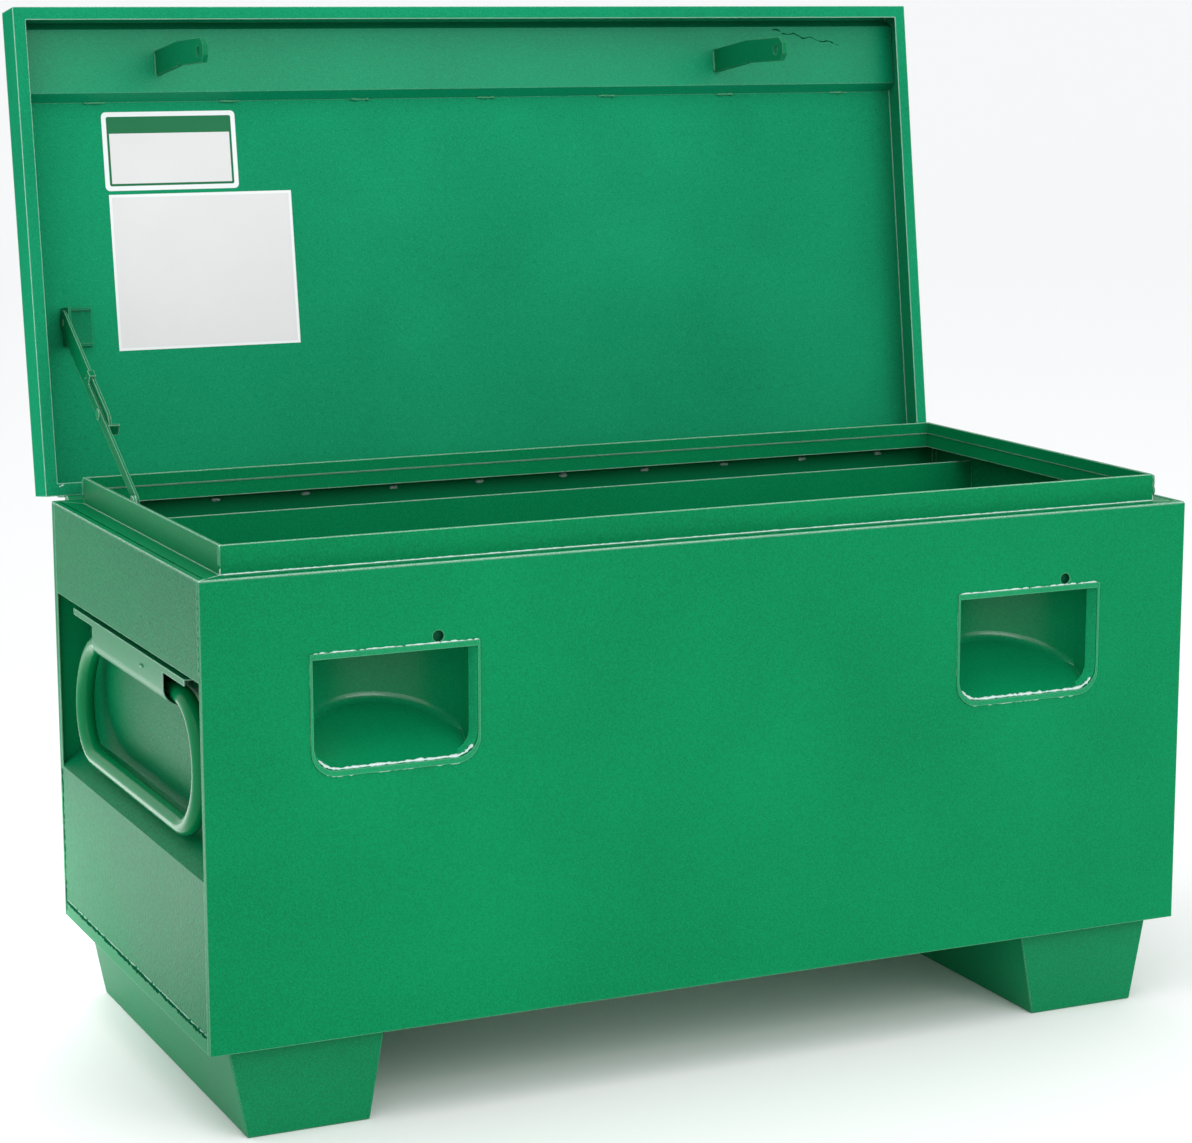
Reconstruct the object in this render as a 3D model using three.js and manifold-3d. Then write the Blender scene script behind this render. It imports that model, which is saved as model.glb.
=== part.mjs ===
import * as THREE from 'three';
import { mergeVertices } from 'three/addons/utils/BufferGeometryUtils.js';
import Module from 'manifold-3d';

// Jobsite storage box with an open lid. Millimetres, X along the length, Y to the back, Z up.
// The skids stand on Z = 0. The box itself is centred on X = 0.

const wasm = await Module();
wasm.setup();

// Body
const BODY_LENGTH = 1066.8;
const BODY_DEPTH = 508;
const FLOOR_Z = 90.6;
const LEDGE_Z = 538.2;
const SHEET = 1.5;
const FRONT_RETURN = 7;
const REAR_RETURN = 10;
const FLOOR_TURN_UP = 16;

// Rim rails: level ledge, upright lip, folded hem
const LIP_HEIGHT = 27.7;
const HEM_HEIGHT = 13;
const FRONT_LEDGE = 19.8;
const END_LEDGE = 26.2;
const REAR_LEDGE = 31.1;

// Recess in each end for the drop handle
const RECESS_TOP_Z = 442.6;
const RECESS_FOOT_Z = 256;
const RECESS_DEPTH = 36.4;
const RECESS_SLOPE = 0.7;

// Skids
const SKID_END_INSET = 21.9;
const SKID_TOP_WIDTH = 156.5;
const SKID_OUTER_SLANT = 17.5;
const SKID_INNER_SLANT = 16.5;
const SKID_FRONT_INSET = 16.2;
const SKID_REAR_INSET = 8.5;
const SKID_SHEET = 2;

// Padlock pockets in the front panel
const POCKET_END_INSET = 188;
const POCKET_WIDTH = 164;
const POCKET_TOP_Z = 455.9;
const POCKET_FOOT_Z = 350;
const POCKET_CORNER = 22;
const POCKET_SIDE_DEPTH = 24;
const POCKET_APEX_DEPTH = 100;
const POCKET_FLOOR_SLOPE = 0.42;
const POCKET_BEAD = 5.5;
const POCKET_SIDE_BEAD = 2.3;
const POCKET_BEAD_PROUD = 1.5;
const POCKET_FIT = 0.3;
const KEY_HOLE_RADIUS = 5.5;
const KEY_HOLE_OFFSET = 43;
const KEY_HOLE_RISE = 12;

// Tool shelf inside the back
const SHELF_DEPTH = 91;
const SHELF_TOP_DROP = 11.2;

// Hinge
const HINGE_RADIUS = 7.5;
const HINGE_DROP = 4.6;
const HINGE_END_INSET = 18.4;
const HINGE_KNUCKLES = 21;
const KNUCKLE_GAP = 0.5;
const HINGE_PIN_RADIUS = 3;
const PIN_FIT = 0.3;
const HINGE_LEAF = 2;
const BODY_LEAF_DROP = 34;
const BODY_LEAF_JOG_TOP = 8;
const BODY_LEAF_JOG_FOOT = 13;
const LID_LEAF_RISE = 36;
const LEAF_RELIEF = 1.2;

// Lid
const LID_HEIGHT = 45.1;
const LID_END_OVERHANG = 1.5;
const LID_FRONT_OVERHANG = 1;
const LID_REAR_OVERHANG = 1.9;
const LID_GAP = 0.5;
const LID_FLANGE = 13.4;
const LID_OPEN_DEGREES = 98;

// Stiffening channel across the lid, placed from the front edge of the lid and inward from the skin
const CHANNEL_FRONT_INSET = 10.9;
const CHANNEL_SLANT = 9;
const CHANNEL_FACE = 67;
const CHANNEL_DEPTH = 15.5;
const CHANNEL_END_GAP = 1;

// Latch tongues
const LEFT_TONGUE_OFFSET = 27.6;
const RIGHT_TONGUE_OFFSET = 48.4;
const LEFT_TONGUE_RISE = 3;
const TONGUE_THICKNESS = 6;
const TONGUE_WIDTH = 26;
const TONGUE_FRONT_INSET = 58.9;
const TONGUE_LEAN = 7;
const TONGUE_KINK_W = 97;
const TONGUE_TIP_W = 184;
const TONGUE_TIP_CHAMFER = 7;
const TONGUE_NOTCH = 4;
const TONGUE_HOLE_RADIUS = 5.5;
const TONGUE_HOLE_INSET = 17;
const SLOT_SIDE_GAP = 3;
const SLOT_FRONT_DEPTH = 25;
const SLOT_REAR_DEPTH = 80;

// Drop handles and their straps
const ROD_RADIUS = 9.5;
const HANDLE_SHIFT = 6;
const HANDLE_LEAN_DEGREES = 3.2;
const HANDLE_DROP = 123;
const HANDLE_TOP_INSET = 71.4;
const HANDLE_FOOT_INSET = 32.7;
const HANDLE_TOP_BEND = 70;
const HANDLE_FOOT_BEND = 56;
const ROD_JOINT_GAP = 1;
const STRAP_FACE_INSET = 2.4;
const STRAP_DROP = 7.1;
const STRAP_SHIFT = -2;
const STRAP_END_INSET = 63;
const STRAP_BROW = 6.5;
const STRAP_FACE_HEIGHT = 22.5;
const STRAP_CURL_INSET = 132;
const STRAP_CURL_RADIUS = 18;
const STRAP_CURL_DEGREES = 120;
const STRAP_PLAY = 0.35;

// Folding lid stay at the left end
const STAY_FOOT_INSET = 199;
const STAY_FOOT_RISE = 25.8;
const STAY_LID_U = 182.6;
const STAY_LID_W = 19;
const STAY_SHEET = 3;
const STAY_PLAY = 0.3;
const LOWER_ARM_HALF = 6;
const UPPER_ARM_HALF = 13;
const LOWER_TAIL = 60;
const UPPER_TAIL = 28;
const STAY_PIN_RADIUS = 3;
const RIVET_HEAD_RADIUS = 6;
const RIVET_HEAD_HEIGHT = 1.4;
const STOP_LUG_LENGTH = 10;
const STOP_LUG_WIDTH = 7;
const STOP_LUG_THICKNESS = 3;
const THUMB_TAB_WIDTH = 8;
const THUMB_TAB_LENGTH = 3;
const THUMB_TAB_HALF = 6;
const EAR_HALF = 20;
const EAR_FOOT_DROP = 22;
const BRACKET_BELOW_PIN = 25.6;
const BRACKET_ABOVE_PIN = 15.4;
const BRACKET_RISE = 29;
const BRACKET_FLANGE = 32;
const BRACKET_LIP = 6;

// Derived places
const HALF_LENGTH = BODY_LENGTH / 2;
const HALF_DEPTH = BODY_DEPTH / 2;
const PANEL_TOP_Z = LEDGE_Z - SHEET;
const LID_LENGTH = BODY_LENGTH + LID_END_OVERHANG * 2;
const LID_DEPTH = BODY_DEPTH + LID_FRONT_OVERHANG + LID_REAR_OVERHANG;
const LID_REAR_Y = HALF_DEPTH + LID_REAR_OVERHANG;
const LID_FRONT_Y = LID_REAR_Y - LID_DEPTH;
const LID_RIM_Z = LEDGE_Z + LID_GAP;
const LID_TOP_Z = LID_RIM_Z + LID_HEIGHT;
const HINGE_LENGTH = BODY_LENGTH - HINGE_END_INSET * 2;
const HINGE_Y = LID_REAR_Y + HINGE_RADIUS;
const HINGE_Z = LEDGE_Z - HINGE_DROP;
const LID_TURN = -LID_OPEN_DEGREES * Math.PI / 180;
const RECESS_BACK_X = HALF_LENGTH - RECESS_DEPTH;
const RECESS_LEDGE_Z = RECESS_FOOT_Z + RECESS_DEPTH * RECESS_SLOPE;
const SHELF_FOOT_Z = RECESS_TOP_Z + SHEET;
const SHELF_FRONT_Y = HALF_DEPTH - SHELF_DEPTH;
const SHELF_TOP_Z = LEDGE_Z - SHELF_TOP_DROP;
const SKID_FRONT_Y = SKID_FRONT_INSET - HALF_DEPTH;
const SKID_REAR_Y = HALF_DEPTH - SKID_REAR_INSET;
const POCKET_X = HALF_LENGTH - POCKET_END_INSET;
const LEFT_TONGUE_X = -POCKET_X - LEFT_TONGUE_OFFSET;
const RIGHT_TONGUE_X = POCKET_X - RIGHT_TONGUE_OFFSET;
const TONGUE_ROOT_U = LID_DEPTH - TONGUE_FRONT_INSET;
const STRAP_FACE_X = HALF_LENGTH - STRAP_FACE_INSET;
const STRAP_TOP_Z = RECESS_TOP_Z - STRAP_DROP;
const STRAP_CURL_Z = STRAP_TOP_Z - STRAP_FACE_HEIGHT;
const STRAP_HALF = HALF_DEPTH - STRAP_END_INSET;
const STRAP_CURL_HALF = HALF_DEPTH - STRAP_CURL_INSET;
const ROD_X = STRAP_FACE_X - STRAP_CURL_RADIUS;
const ROD_Z = STRAP_CURL_Z - STRAP_CURL_RADIUS + SHEET + STRAP_PLAY + ROD_RADIUS;
const HANDLE_LEAN = HANDLE_LEAN_DEGREES * Math.PI / 180;
const HANDLE_TOP_HALF = HALF_DEPTH - HANDLE_TOP_INSET;
const HANDLE_FOOT_HALF = HALF_DEPTH - HANDLE_FOOT_INSET;
const STAY_FOOT_Y = HALF_DEPTH - STAY_FOOT_INSET;
const STAY_FOOT_Z = LEDGE_Z + STAY_FOOT_RISE;
const EAR_X = -(HALF_LENGTH - END_LEDGE - 2 * SHEET - STAY_PLAY);
const LOWER_ARM_X = EAR_X + STAY_SHEET + STAY_PLAY;
const UPPER_ARM_X = LOWER_ARM_X + STAY_SHEET + STAY_PLAY;
const BRACKET_X = UPPER_ARM_X + STAY_SHEET + STAY_PLAY;

const GREEN = 0x14905a;

// Mesh helpers

function toSolid(geometry) {
  geometry.deleteAttribute('normal');
  geometry.deleteAttribute('uv');
  const welded = mergeVertices(geometry);
  return new wasm.Manifold(new wasm.Mesh({
    numProp: 3,
    vertProperties: Float32Array.from(welded.attributes.position.array),
    triVerts: Uint32Array.from(welded.index.array),
  }));
}

function toGeometry(body) {
  const data = body.getMesh();
  const geometry = new THREE.BufferGeometry();
  geometry.setAttribute('position', new THREE.BufferAttribute(new Float32Array(data.vertProperties), 3));
  geometry.setIndex(new THREE.BufferAttribute(new Uint32Array(data.triVerts), 1));
  geometry.computeVertexNormals();
  return geometry;
}

// A straight bar with the outline given in the two axes across it.
// Across X the outline is (y, z), across Y it is (x, z), across Z it is (x, y).
function bar(outline, low, high, axis) {
  const shape = new THREE.Shape(outline.map(([a, b]) => new THREE.Vector2(a, b)));
  const geometry = new THREE.ExtrudeGeometry(shape, { depth: high - low, bevelEnabled: false });
  const x = new THREE.Vector3(1, 0, 0);
  const y = new THREE.Vector3(0, 1, 0);
  const z = new THREE.Vector3(0, 0, 1);
  const turn = new THREE.Matrix4();
  if (axis === 'x') {
    turn.makeBasis(y, z, x).setPosition(low, 0, 0);
  } else if (axis === 'y') {
    turn.makeBasis(x, z, y.negate()).setPosition(0, high, 0);
  } else {
    turn.setPosition(0, 0, low);
  }
  geometry.applyMatrix4(turn);
  return toSolid(geometry);
}

function block(x0, x1, y0, y1, z0, z1) {
  const geometry = new THREE.BoxGeometry(x1 - x0, y1 - y0, z1 - z0);
  geometry.translate((x0 + x1) / 2, (y0 + y1) / 2, (z0 + z1) / 2);
  return toSolid(geometry);
}

// A round bar along X
function round(radius, x0, x1, y, z, sides) {
  const geometry = new THREE.CylinderGeometry(radius, radius, x1 - x0, sides);
  geometry.rotateZ(Math.PI / 2);
  geometry.translate((x0 + x1) / 2, y, z);
  return toSolid(geometry);
}

// The closed outline of a sheet that follows a bent line, with its thickness on the left of the line
function bent(line, thickness) {
  const lefts = [];
  for (let i = 0; i + 1 < line.length; i += 1) {
    const across = line[i + 1][0] - line[i][0];
    const along = line[i + 1][1] - line[i][1];
    const size = Math.hypot(across, along);
    lefts.push([-along / size, across / size]);
  }
  const inner = line.map((point, i) => {
    const before = lefts[Math.max(i - 1, 0)];
    const after = lefts[Math.min(i, lefts.length - 1)];
    const share = thickness / (1 + before[0] * after[0] + before[1] * after[1]);
    return [point[0] + (before[0] + after[0]) * share, point[1] + (before[1] + after[1]) * share];
  });
  return line.concat(inner.reverse());
}

// Points on an arc, both ends included
function arc(centre, radius, from, to, steps) {
  return Array.from({ length: steps + 1 }, (unused, i) => {
    const angle = from + (to - from) * i / steps;
    return [centre[0] + radius * Math.cos(angle), centre[1] + radius * Math.sin(angle)];
  });
}

function node(name, body, roughness = 0.42) {
  const material = new THREE.MeshStandardMaterial({ color: GREEN, roughness, metalness: 0.1 });
  const mesh = new THREE.Mesh(toGeometry(body), material);
  mesh.name = name;
  return mesh;
}

function mirrored(outline) {
  return outline.map(([a, b]) => [-a, b]).reverse();
}

// Corner returns of the front and rear panels, taken out of the parts that meet them
function withoutReturns(body) {
  const inside = HALF_LENGTH - SHEET;
  const far = BODY_LENGTH;
  const front = HALF_DEPTH - FRONT_RETURN;
  const rear = HALF_DEPTH - REAR_RETURN;
  return body
    .subtract(block(-far, -inside, -BODY_DEPTH, -front, 0, LEDGE_Z))
    .subtract(block(inside, far, -BODY_DEPTH, -front, 0, LEDGE_Z))
    .subtract(block(-far, -inside, rear, BODY_DEPTH, 0, LEDGE_Z))
    .subtract(block(inside, far, rear, BODY_DEPTH, 0, LEDGE_Z));
}

// Pocket outline seen from the front: square above, rounded below
function pocketFront(centre, grow, sideGrow = grow) {
  const half = POCKET_WIDTH / 2 + sideGrow;
  const top = POCKET_TOP_Z + grow;
  const foot = POCKET_FOOT_Z - grow;
  const corner = POCKET_CORNER + sideGrow;
  return [[centre + half, top], [centre - half, top]]
    .concat(arc([centre - half + corner, foot + corner], corner, Math.PI, Math.PI * 1.5, 6))
    .concat(arc([centre + half - corner, foot + corner], corner, Math.PI * 1.5, Math.PI * 2, 6));
}

// Pocket outline seen from above: flat sides and a bowed back
function pocketPlan(centre, grow) {
  const half = POCKET_WIDTH / 2 + grow;
  const bow = POCKET_APEX_DEPTH - POCKET_SIDE_DEPTH;
  const side = grow + POCKET_SIDE_DEPTH - HALF_DEPTH;
  const back = arc([0, 0], 1, 0, Math.PI, 18).map(([a, b]) => [centre + half * a, side + bow * b]);
  return [[centre - half, -BODY_DEPTH], [centre + half, -BODY_DEPTH]].concat(back);
}

function pocketSpace(centre, grow) {
  const reach = POCKET_APEX_DEPTH * 2;
  const fall = grow * Math.hypot(1, POCKET_FLOOR_SLOPE);
  const low = POCKET_FOOT_Z - fall;
  const side = [
    [-HALF_DEPTH, low],
    [-HALF_DEPTH + reach, low + reach * POCKET_FLOOR_SLOPE],
    [-HALF_DEPTH + reach, LEDGE_Z],
    [-HALF_DEPTH, LEDGE_Z],
  ];
  const wide = POCKET_WIDTH;
  return bar(pocketFront(centre, grow), -HALF_DEPTH, -HALF_DEPTH + reach, 'y')
    .intersect(bar(pocketPlan(centre, grow), 0, LEDGE_Z, 'z'))
    .intersect(bar(side, centre - wide, centre + wide, 'x'));
}

function lockPocket(centre, tongueX) {
  const proud = POCKET_BEAD_PROUD;
  const rim = pocketFront(centre, POCKET_BEAD, POCKET_SIDE_BEAD);
  const bead = bar(rim, -HALF_DEPTH - proud, -HALF_DEPTH, 'y');
  const mouth = bar(pocketFront(centre, 0), -HALF_DEPTH - proud * 2, -HALF_DEPTH + SHEET, 'y');
  const half = TONGUE_THICKNESS / 2 + SLOT_SIDE_GAP;
  const slot = block(
    tongueX - half, tongueX + half,
    SLOT_FRONT_DEPTH - HALF_DEPTH, SLOT_REAR_DEPTH - HALF_DEPTH,
    POCKET_TOP_Z - SHEET, POCKET_TOP_Z + SHEET * 2,
  );
  return pocketSpace(centre, SHEET)
    .add(bead)
    .subtract(mouth)
    .subtract(pocketSpace(centre, 0))
    .subtract(slot);
}

function frontPanel() {
  const turn = FRONT_RETURN - HALF_DEPTH;
  const line = [
    [-HALF_LENGTH, turn],
    [-HALF_LENGTH, -HALF_DEPTH],
    [HALF_LENGTH, -HALF_DEPTH],
    [HALF_LENGTH, turn],
  ];
  let panel = bar(bent(line, SHEET), FLOOR_Z, PANEL_TOP_Z, 'z');
  for (const centre of [-POCKET_X, POCKET_X]) {
    const opening = pocketFront(centre, SHEET + POCKET_FIT);
    panel = panel.subtract(bar(opening, -HALF_DEPTH - SHEET, -HALF_DEPTH + SHEET * 2, 'y'));
    const drill = new THREE.CylinderGeometry(KEY_HOLE_RADIUS, KEY_HOLE_RADIUS, SHEET * 3, 16);
    drill.translate(centre + KEY_HOLE_OFFSET, -HALF_DEPTH, POCKET_TOP_Z + KEY_HOLE_RISE);
    panel = panel.subtract(toSolid(drill));
  }
  return panel;
}

function rearPanel() {
  const turn = HALF_DEPTH - REAR_RETURN;
  const line = [
    [HALF_LENGTH, turn],
    [HALF_LENGTH, HALF_DEPTH],
    [-HALF_LENGTH, HALF_DEPTH],
    [-HALF_LENGTH, turn],
  ];
  return bar(bent(line, SHEET), FLOOR_Z, PANEL_TOP_Z, 'z');
}

// End sheet of the left end, bent inward around the handle recess
function endOutline() {
  return bent([
    [-HALF_LENGTH, PANEL_TOP_Z],
    [-HALF_LENGTH, RECESS_TOP_Z],
    [-RECESS_BACK_X, RECESS_TOP_Z],
    [-RECESS_BACK_X, RECESS_LEDGE_Z],
    [-HALF_LENGTH, RECESS_FOOT_Z],
    [-HALF_LENGTH, FLOOR_Z + FLOOR_TURN_UP],
  ], SHEET);
}

function endPanel(outline) {
  return withoutReturns(bar(outline, SHEET - HALF_DEPTH, HALF_DEPTH - SHEET, 'y'));
}

function floorPanel() {
  const line = [
    [-HALF_LENGTH, FLOOR_Z + FLOOR_TURN_UP],
    [-HALF_LENGTH, FLOOR_Z],
    [HALF_LENGTH, FLOOR_Z],
    [HALF_LENGTH, FLOOR_Z + FLOOR_TURN_UP],
  ];
  return withoutReturns(bar(bent(line, SHEET), SHEET - HALF_DEPTH, HALF_DEPTH - SHEET, 'y'));
}

// Section of a rim rail, with its outer edge at zero
function railSection(ledge) {
  const lipTop = LEDGE_Z + LIP_HEIGHT;
  return [
    [0, PANEL_TOP_Z],
    [ledge + SHEET, PANEL_TOP_Z],
    [ledge + SHEET, lipTop - HEM_HEIGHT],
    [ledge + SHEET * 2, lipTop - HEM_HEIGHT],
    [ledge + SHEET * 2, lipTop],
    [ledge, lipTop],
    [ledge, LEDGE_Z],
    [0, LEDGE_Z],
  ];
}

// Plan outline that mitres one rail against its two neighbours
function mitre(rail) {
  const reach = 2;
  const endRun = END_LEDGE * reach;
  const ledges = { front: FRONT_LEDGE, rear: REAR_LEDGE };
  const corner = (side, end) => [end * HALF_LENGTH, side === 'front' ? -HALF_DEPTH : HALF_DEPTH];
  const inner = (side, end) => {
    const run = ledges[side] * reach;
    return [end * (HALF_LENGTH - endRun), side === 'front' ? run - HALF_DEPTH : HALF_DEPTH - run];
  };
  const outlines = {
    front: [corner('front', -1), corner('front', 1), inner('front', 1), inner('front', -1)],
    rear: [corner('rear', 1), corner('rear', -1), inner('rear', -1), inner('rear', 1)],
    left: [corner('rear', -1), corner('front', -1), inner('front', -1), inner('rear', -1)],
    right: [corner('front', 1), corner('rear', 1), inner('rear', 1), inner('front', 1)],
  };
  return bar(outlines[rail], FLOOR_Z, LEDGE_Z + LIP_HEIGHT * 2, 'z');
}

function longRail(side) {
  const front = side === 'front';
  const section = railSection(front ? FRONT_LEDGE : REAR_LEDGE);
  const placed = front
    ? section.map(([a, z]) => [a - HALF_DEPTH, z])
    : section.map(([a, z]) => [HALF_DEPTH - a, z]).reverse();
  return bar(placed, -HALF_LENGTH, HALF_LENGTH, 'x').intersect(mitre(side));
}

function endRail(side) {
  const section = railSection(END_LEDGE).map(([a, z]) => [a - HALF_LENGTH, z]);
  const placed = side === 'left' ? section : mirrored(section);
  return bar(placed, -HALF_DEPTH, HALF_DEPTH, 'y').intersect(mitre(side));
}

// Trapezoid runner, closed at both ends and open above
function skid(side) {
  const outerTop = HALF_LENGTH - SKID_END_INSET;
  const innerTop = outerTop - SKID_TOP_WIDTH;
  const outerFoot = outerTop - SKID_OUTER_SLANT;
  const innerFoot = innerTop + SKID_INNER_SLANT;
  const outer = [[innerFoot, 0], [outerFoot, 0], [outerTop, FLOOR_Z], [innerTop, FLOOR_Z]];
  const wall = SKID_SHEET;
  const inner = [
    [innerFoot + wall, wall],
    [outerFoot - wall, wall],
    [outerTop - wall, FLOOR_Z + wall],
    [innerTop + wall, FLOOR_Z + wall],
  ];
  const flip = (outline) => (side < 0 ? mirrored(outline) : outline);
  return bar(flip(outer), SKID_FRONT_Y, SKID_REAR_Y, 'y')
    .subtract(bar(flip(inner), SKID_FRONT_Y + wall, SKID_REAR_Y - wall, 'y'));
}

function toolShelf() {
  const line = [
    [SHELF_FRONT_Y, SHELF_TOP_Z],
    [SHELF_FRONT_Y, SHELF_FOOT_Z],
    [HALF_DEPTH - SHEET, SHELF_FOOT_Z],
  ];
  return bar(bent(line, SHEET), SHEET - HALF_LENGTH, HALF_LENGTH - SHEET, 'x');
}

// Ends of one knuckle of the hinge
function knuckleSpan(index) {
  const pitch = HINGE_LENGTH / HINGE_KNUCKLES;
  const start = pitch * index - HINGE_LENGTH / 2;
  return [start + KNUCKLE_GAP / 2, start + pitch - KNUCKLE_GAP / 2];
}

// One leaf of the hinge with every second knuckle, cleared around the knuckles of the other leaf
function hingeLeaf(plate, first) {
  let leaf = plate;
  for (let i = 0; i < HINGE_KNUCKLES; i += 1) {
    const [x0, x1] = knuckleSpan(i);
    if (i % 2 === first) {
      leaf = leaf.add(round(HINGE_RADIUS, x0, x1, HINGE_Y, HINGE_Z, 16));
    } else {
      const reach = HINGE_RADIUS + LEAF_RELIEF;
      leaf = leaf.subtract(block(
        x0 - KNUCKLE_GAP, x1 + KNUCKLE_GAP,
        HINGE_Y - reach, HINGE_Y + reach,
        HINGE_Z - reach, HINGE_Z + reach,
      ));
    }
  }
  const bore = round(HINGE_PIN_RADIUS + PIN_FIT, -HINGE_LENGTH, HINGE_LENGTH, HINGE_Y, HINGE_Z, 12);
  return leaf.subtract(bore);
}

function hingeBodyLeaf() {
  const line = [
    [LID_REAR_Y, HINGE_Z],
    [LID_REAR_Y, HINGE_Z - BODY_LEAF_JOG_TOP],
    [HALF_DEPTH, HINGE_Z - BODY_LEAF_JOG_FOOT],
    [HALF_DEPTH, HINGE_Z - BODY_LEAF_DROP],
  ];
  const half = HINGE_LENGTH / 2;
  return hingeLeaf(bar(bent(line, HINGE_LEAF), -half, half, 'x'), 0);
}

function hingeLidLeaf() {
  const half = HINGE_LENGTH / 2;
  const plate = block(-half, half, LID_REAR_Y, LID_REAR_Y + HINGE_LEAF, HINGE_Z, HINGE_Z + LID_LEAF_RISE);
  return hingeLeaf(plate, 1);
}

function hingePin() {
  return round(HINGE_PIN_RADIUS, -HINGE_LENGTH / 2, HINGE_LENGTH / 2, HINGE_Y, HINGE_Z, 12);
}

// Lid in its closed place: folded pan with a flange turned in around the rim
function lidPan() {
  const half = LID_LENGTH / 2;
  const outer = block(-half, half, LID_FRONT_Y, LID_REAR_Y, LID_RIM_Z, LID_TOP_Z);
  const cavity = block(
    SHEET - half, half - SHEET,
    LID_FRONT_Y + SHEET, LID_REAR_Y - SHEET,
    LID_RIM_Z + SHEET, LID_TOP_Z - SHEET,
  );
  const mouth = block(
    LID_FLANGE - half, half - LID_FLANGE,
    LID_FRONT_Y + LID_FLANGE, LID_REAR_Y - LID_FLANGE,
    FLOOR_Z, LID_RIM_Z + SHEET * 2,
  );
  return outer.subtract(cavity).subtract(mouth);
}

// A point of the closed lid from its distance u along the lid and w in from the skin
function lidPoint(u, w) {
  return [LID_REAR_Y - u, LID_TOP_Z - w];
}

function lidChannel() {
  const half = LID_LENGTH / 2 - SHEET - CHANNEL_END_GAP;
  const toe = LID_DEPTH - CHANNEL_FRONT_INSET;
  const line = [
    lidPoint(toe, SHEET),
    lidPoint(toe - CHANNEL_SLANT, CHANNEL_DEPTH),
    lidPoint(toe - CHANNEL_SLANT - CHANNEL_FACE, CHANNEL_DEPTH),
    lidPoint(toe - CHANNEL_SLANT * 2 - CHANNEL_FACE, SHEET),
  ];
  return bar(bent(line, SHEET), -half, half, 'x')
    .subtract(block(-LID_LENGTH, LID_LENGTH, LID_FRONT_Y, LID_REAR_Y, LID_TOP_Z - SHEET, LID_TOP_Z));
}

function latchTongue(x, root) {
  const half = TONGUE_WIDTH / 2;
  const tip = root - TONGUE_LEAN;
  const chamfer = TONGUE_TIP_CHAMFER;
  const outline = [
    lidPoint(root + half, CHANNEL_DEPTH),
    lidPoint(root + half, TONGUE_KINK_W),
    lidPoint(tip + half, TONGUE_TIP_W - chamfer),
    lidPoint(tip + half - chamfer, TONGUE_TIP_W),
    lidPoint(tip - half + chamfer, TONGUE_TIP_W),
    lidPoint(tip - half, TONGUE_TIP_W - chamfer),
    lidPoint(root - half, TONGUE_KINK_W + TONGUE_NOTCH),
    lidPoint(root - half + TONGUE_NOTCH, TONGUE_KINK_W),
    lidPoint(root - half, TONGUE_KINK_W - TONGUE_NOTCH),
    lidPoint(root - half, CHANNEL_DEPTH),
  ];
  const [holeY, holeZ] = lidPoint(tip, TONGUE_TIP_W - TONGUE_HOLE_INSET);
  const thick = TONGUE_THICKNESS;
  return bar(outline, x - thick / 2, x + thick / 2, 'x')
    .subtract(round(TONGUE_HOLE_RADIUS, x - thick, x + thick, holeY, holeZ, 16));
}

// Bent strap over the top bar of the left handle, with a round curl that carries the bar
function handleStrap() {
  const sweep = STRAP_CURL_DEGREES * Math.PI / 180;
  const line = [[-RECESS_BACK_X, STRAP_TOP_Z], [-STRAP_FACE_X, STRAP_TOP_Z]]
    .concat(arc([-ROD_X, STRAP_CURL_Z], STRAP_CURL_RADIUS, Math.PI, Math.PI + sweep, 12));
  const strap = bar(bent(line, SHEET), STRAP_SHIFT - STRAP_HALF, STRAP_SHIFT + STRAP_HALF, 'y');
  const far = BODY_LENGTH;
  const notch = (y0, y1) => block(-far, far, y0, y1, 0, STRAP_TOP_Z - STRAP_BROW);
  return strap
    .subtract(notch(-BODY_DEPTH, STRAP_SHIFT - STRAP_CURL_HALF))
    .subtract(notch(STRAP_SHIFT + STRAP_CURL_HALF, BODY_DEPTH));
}

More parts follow.
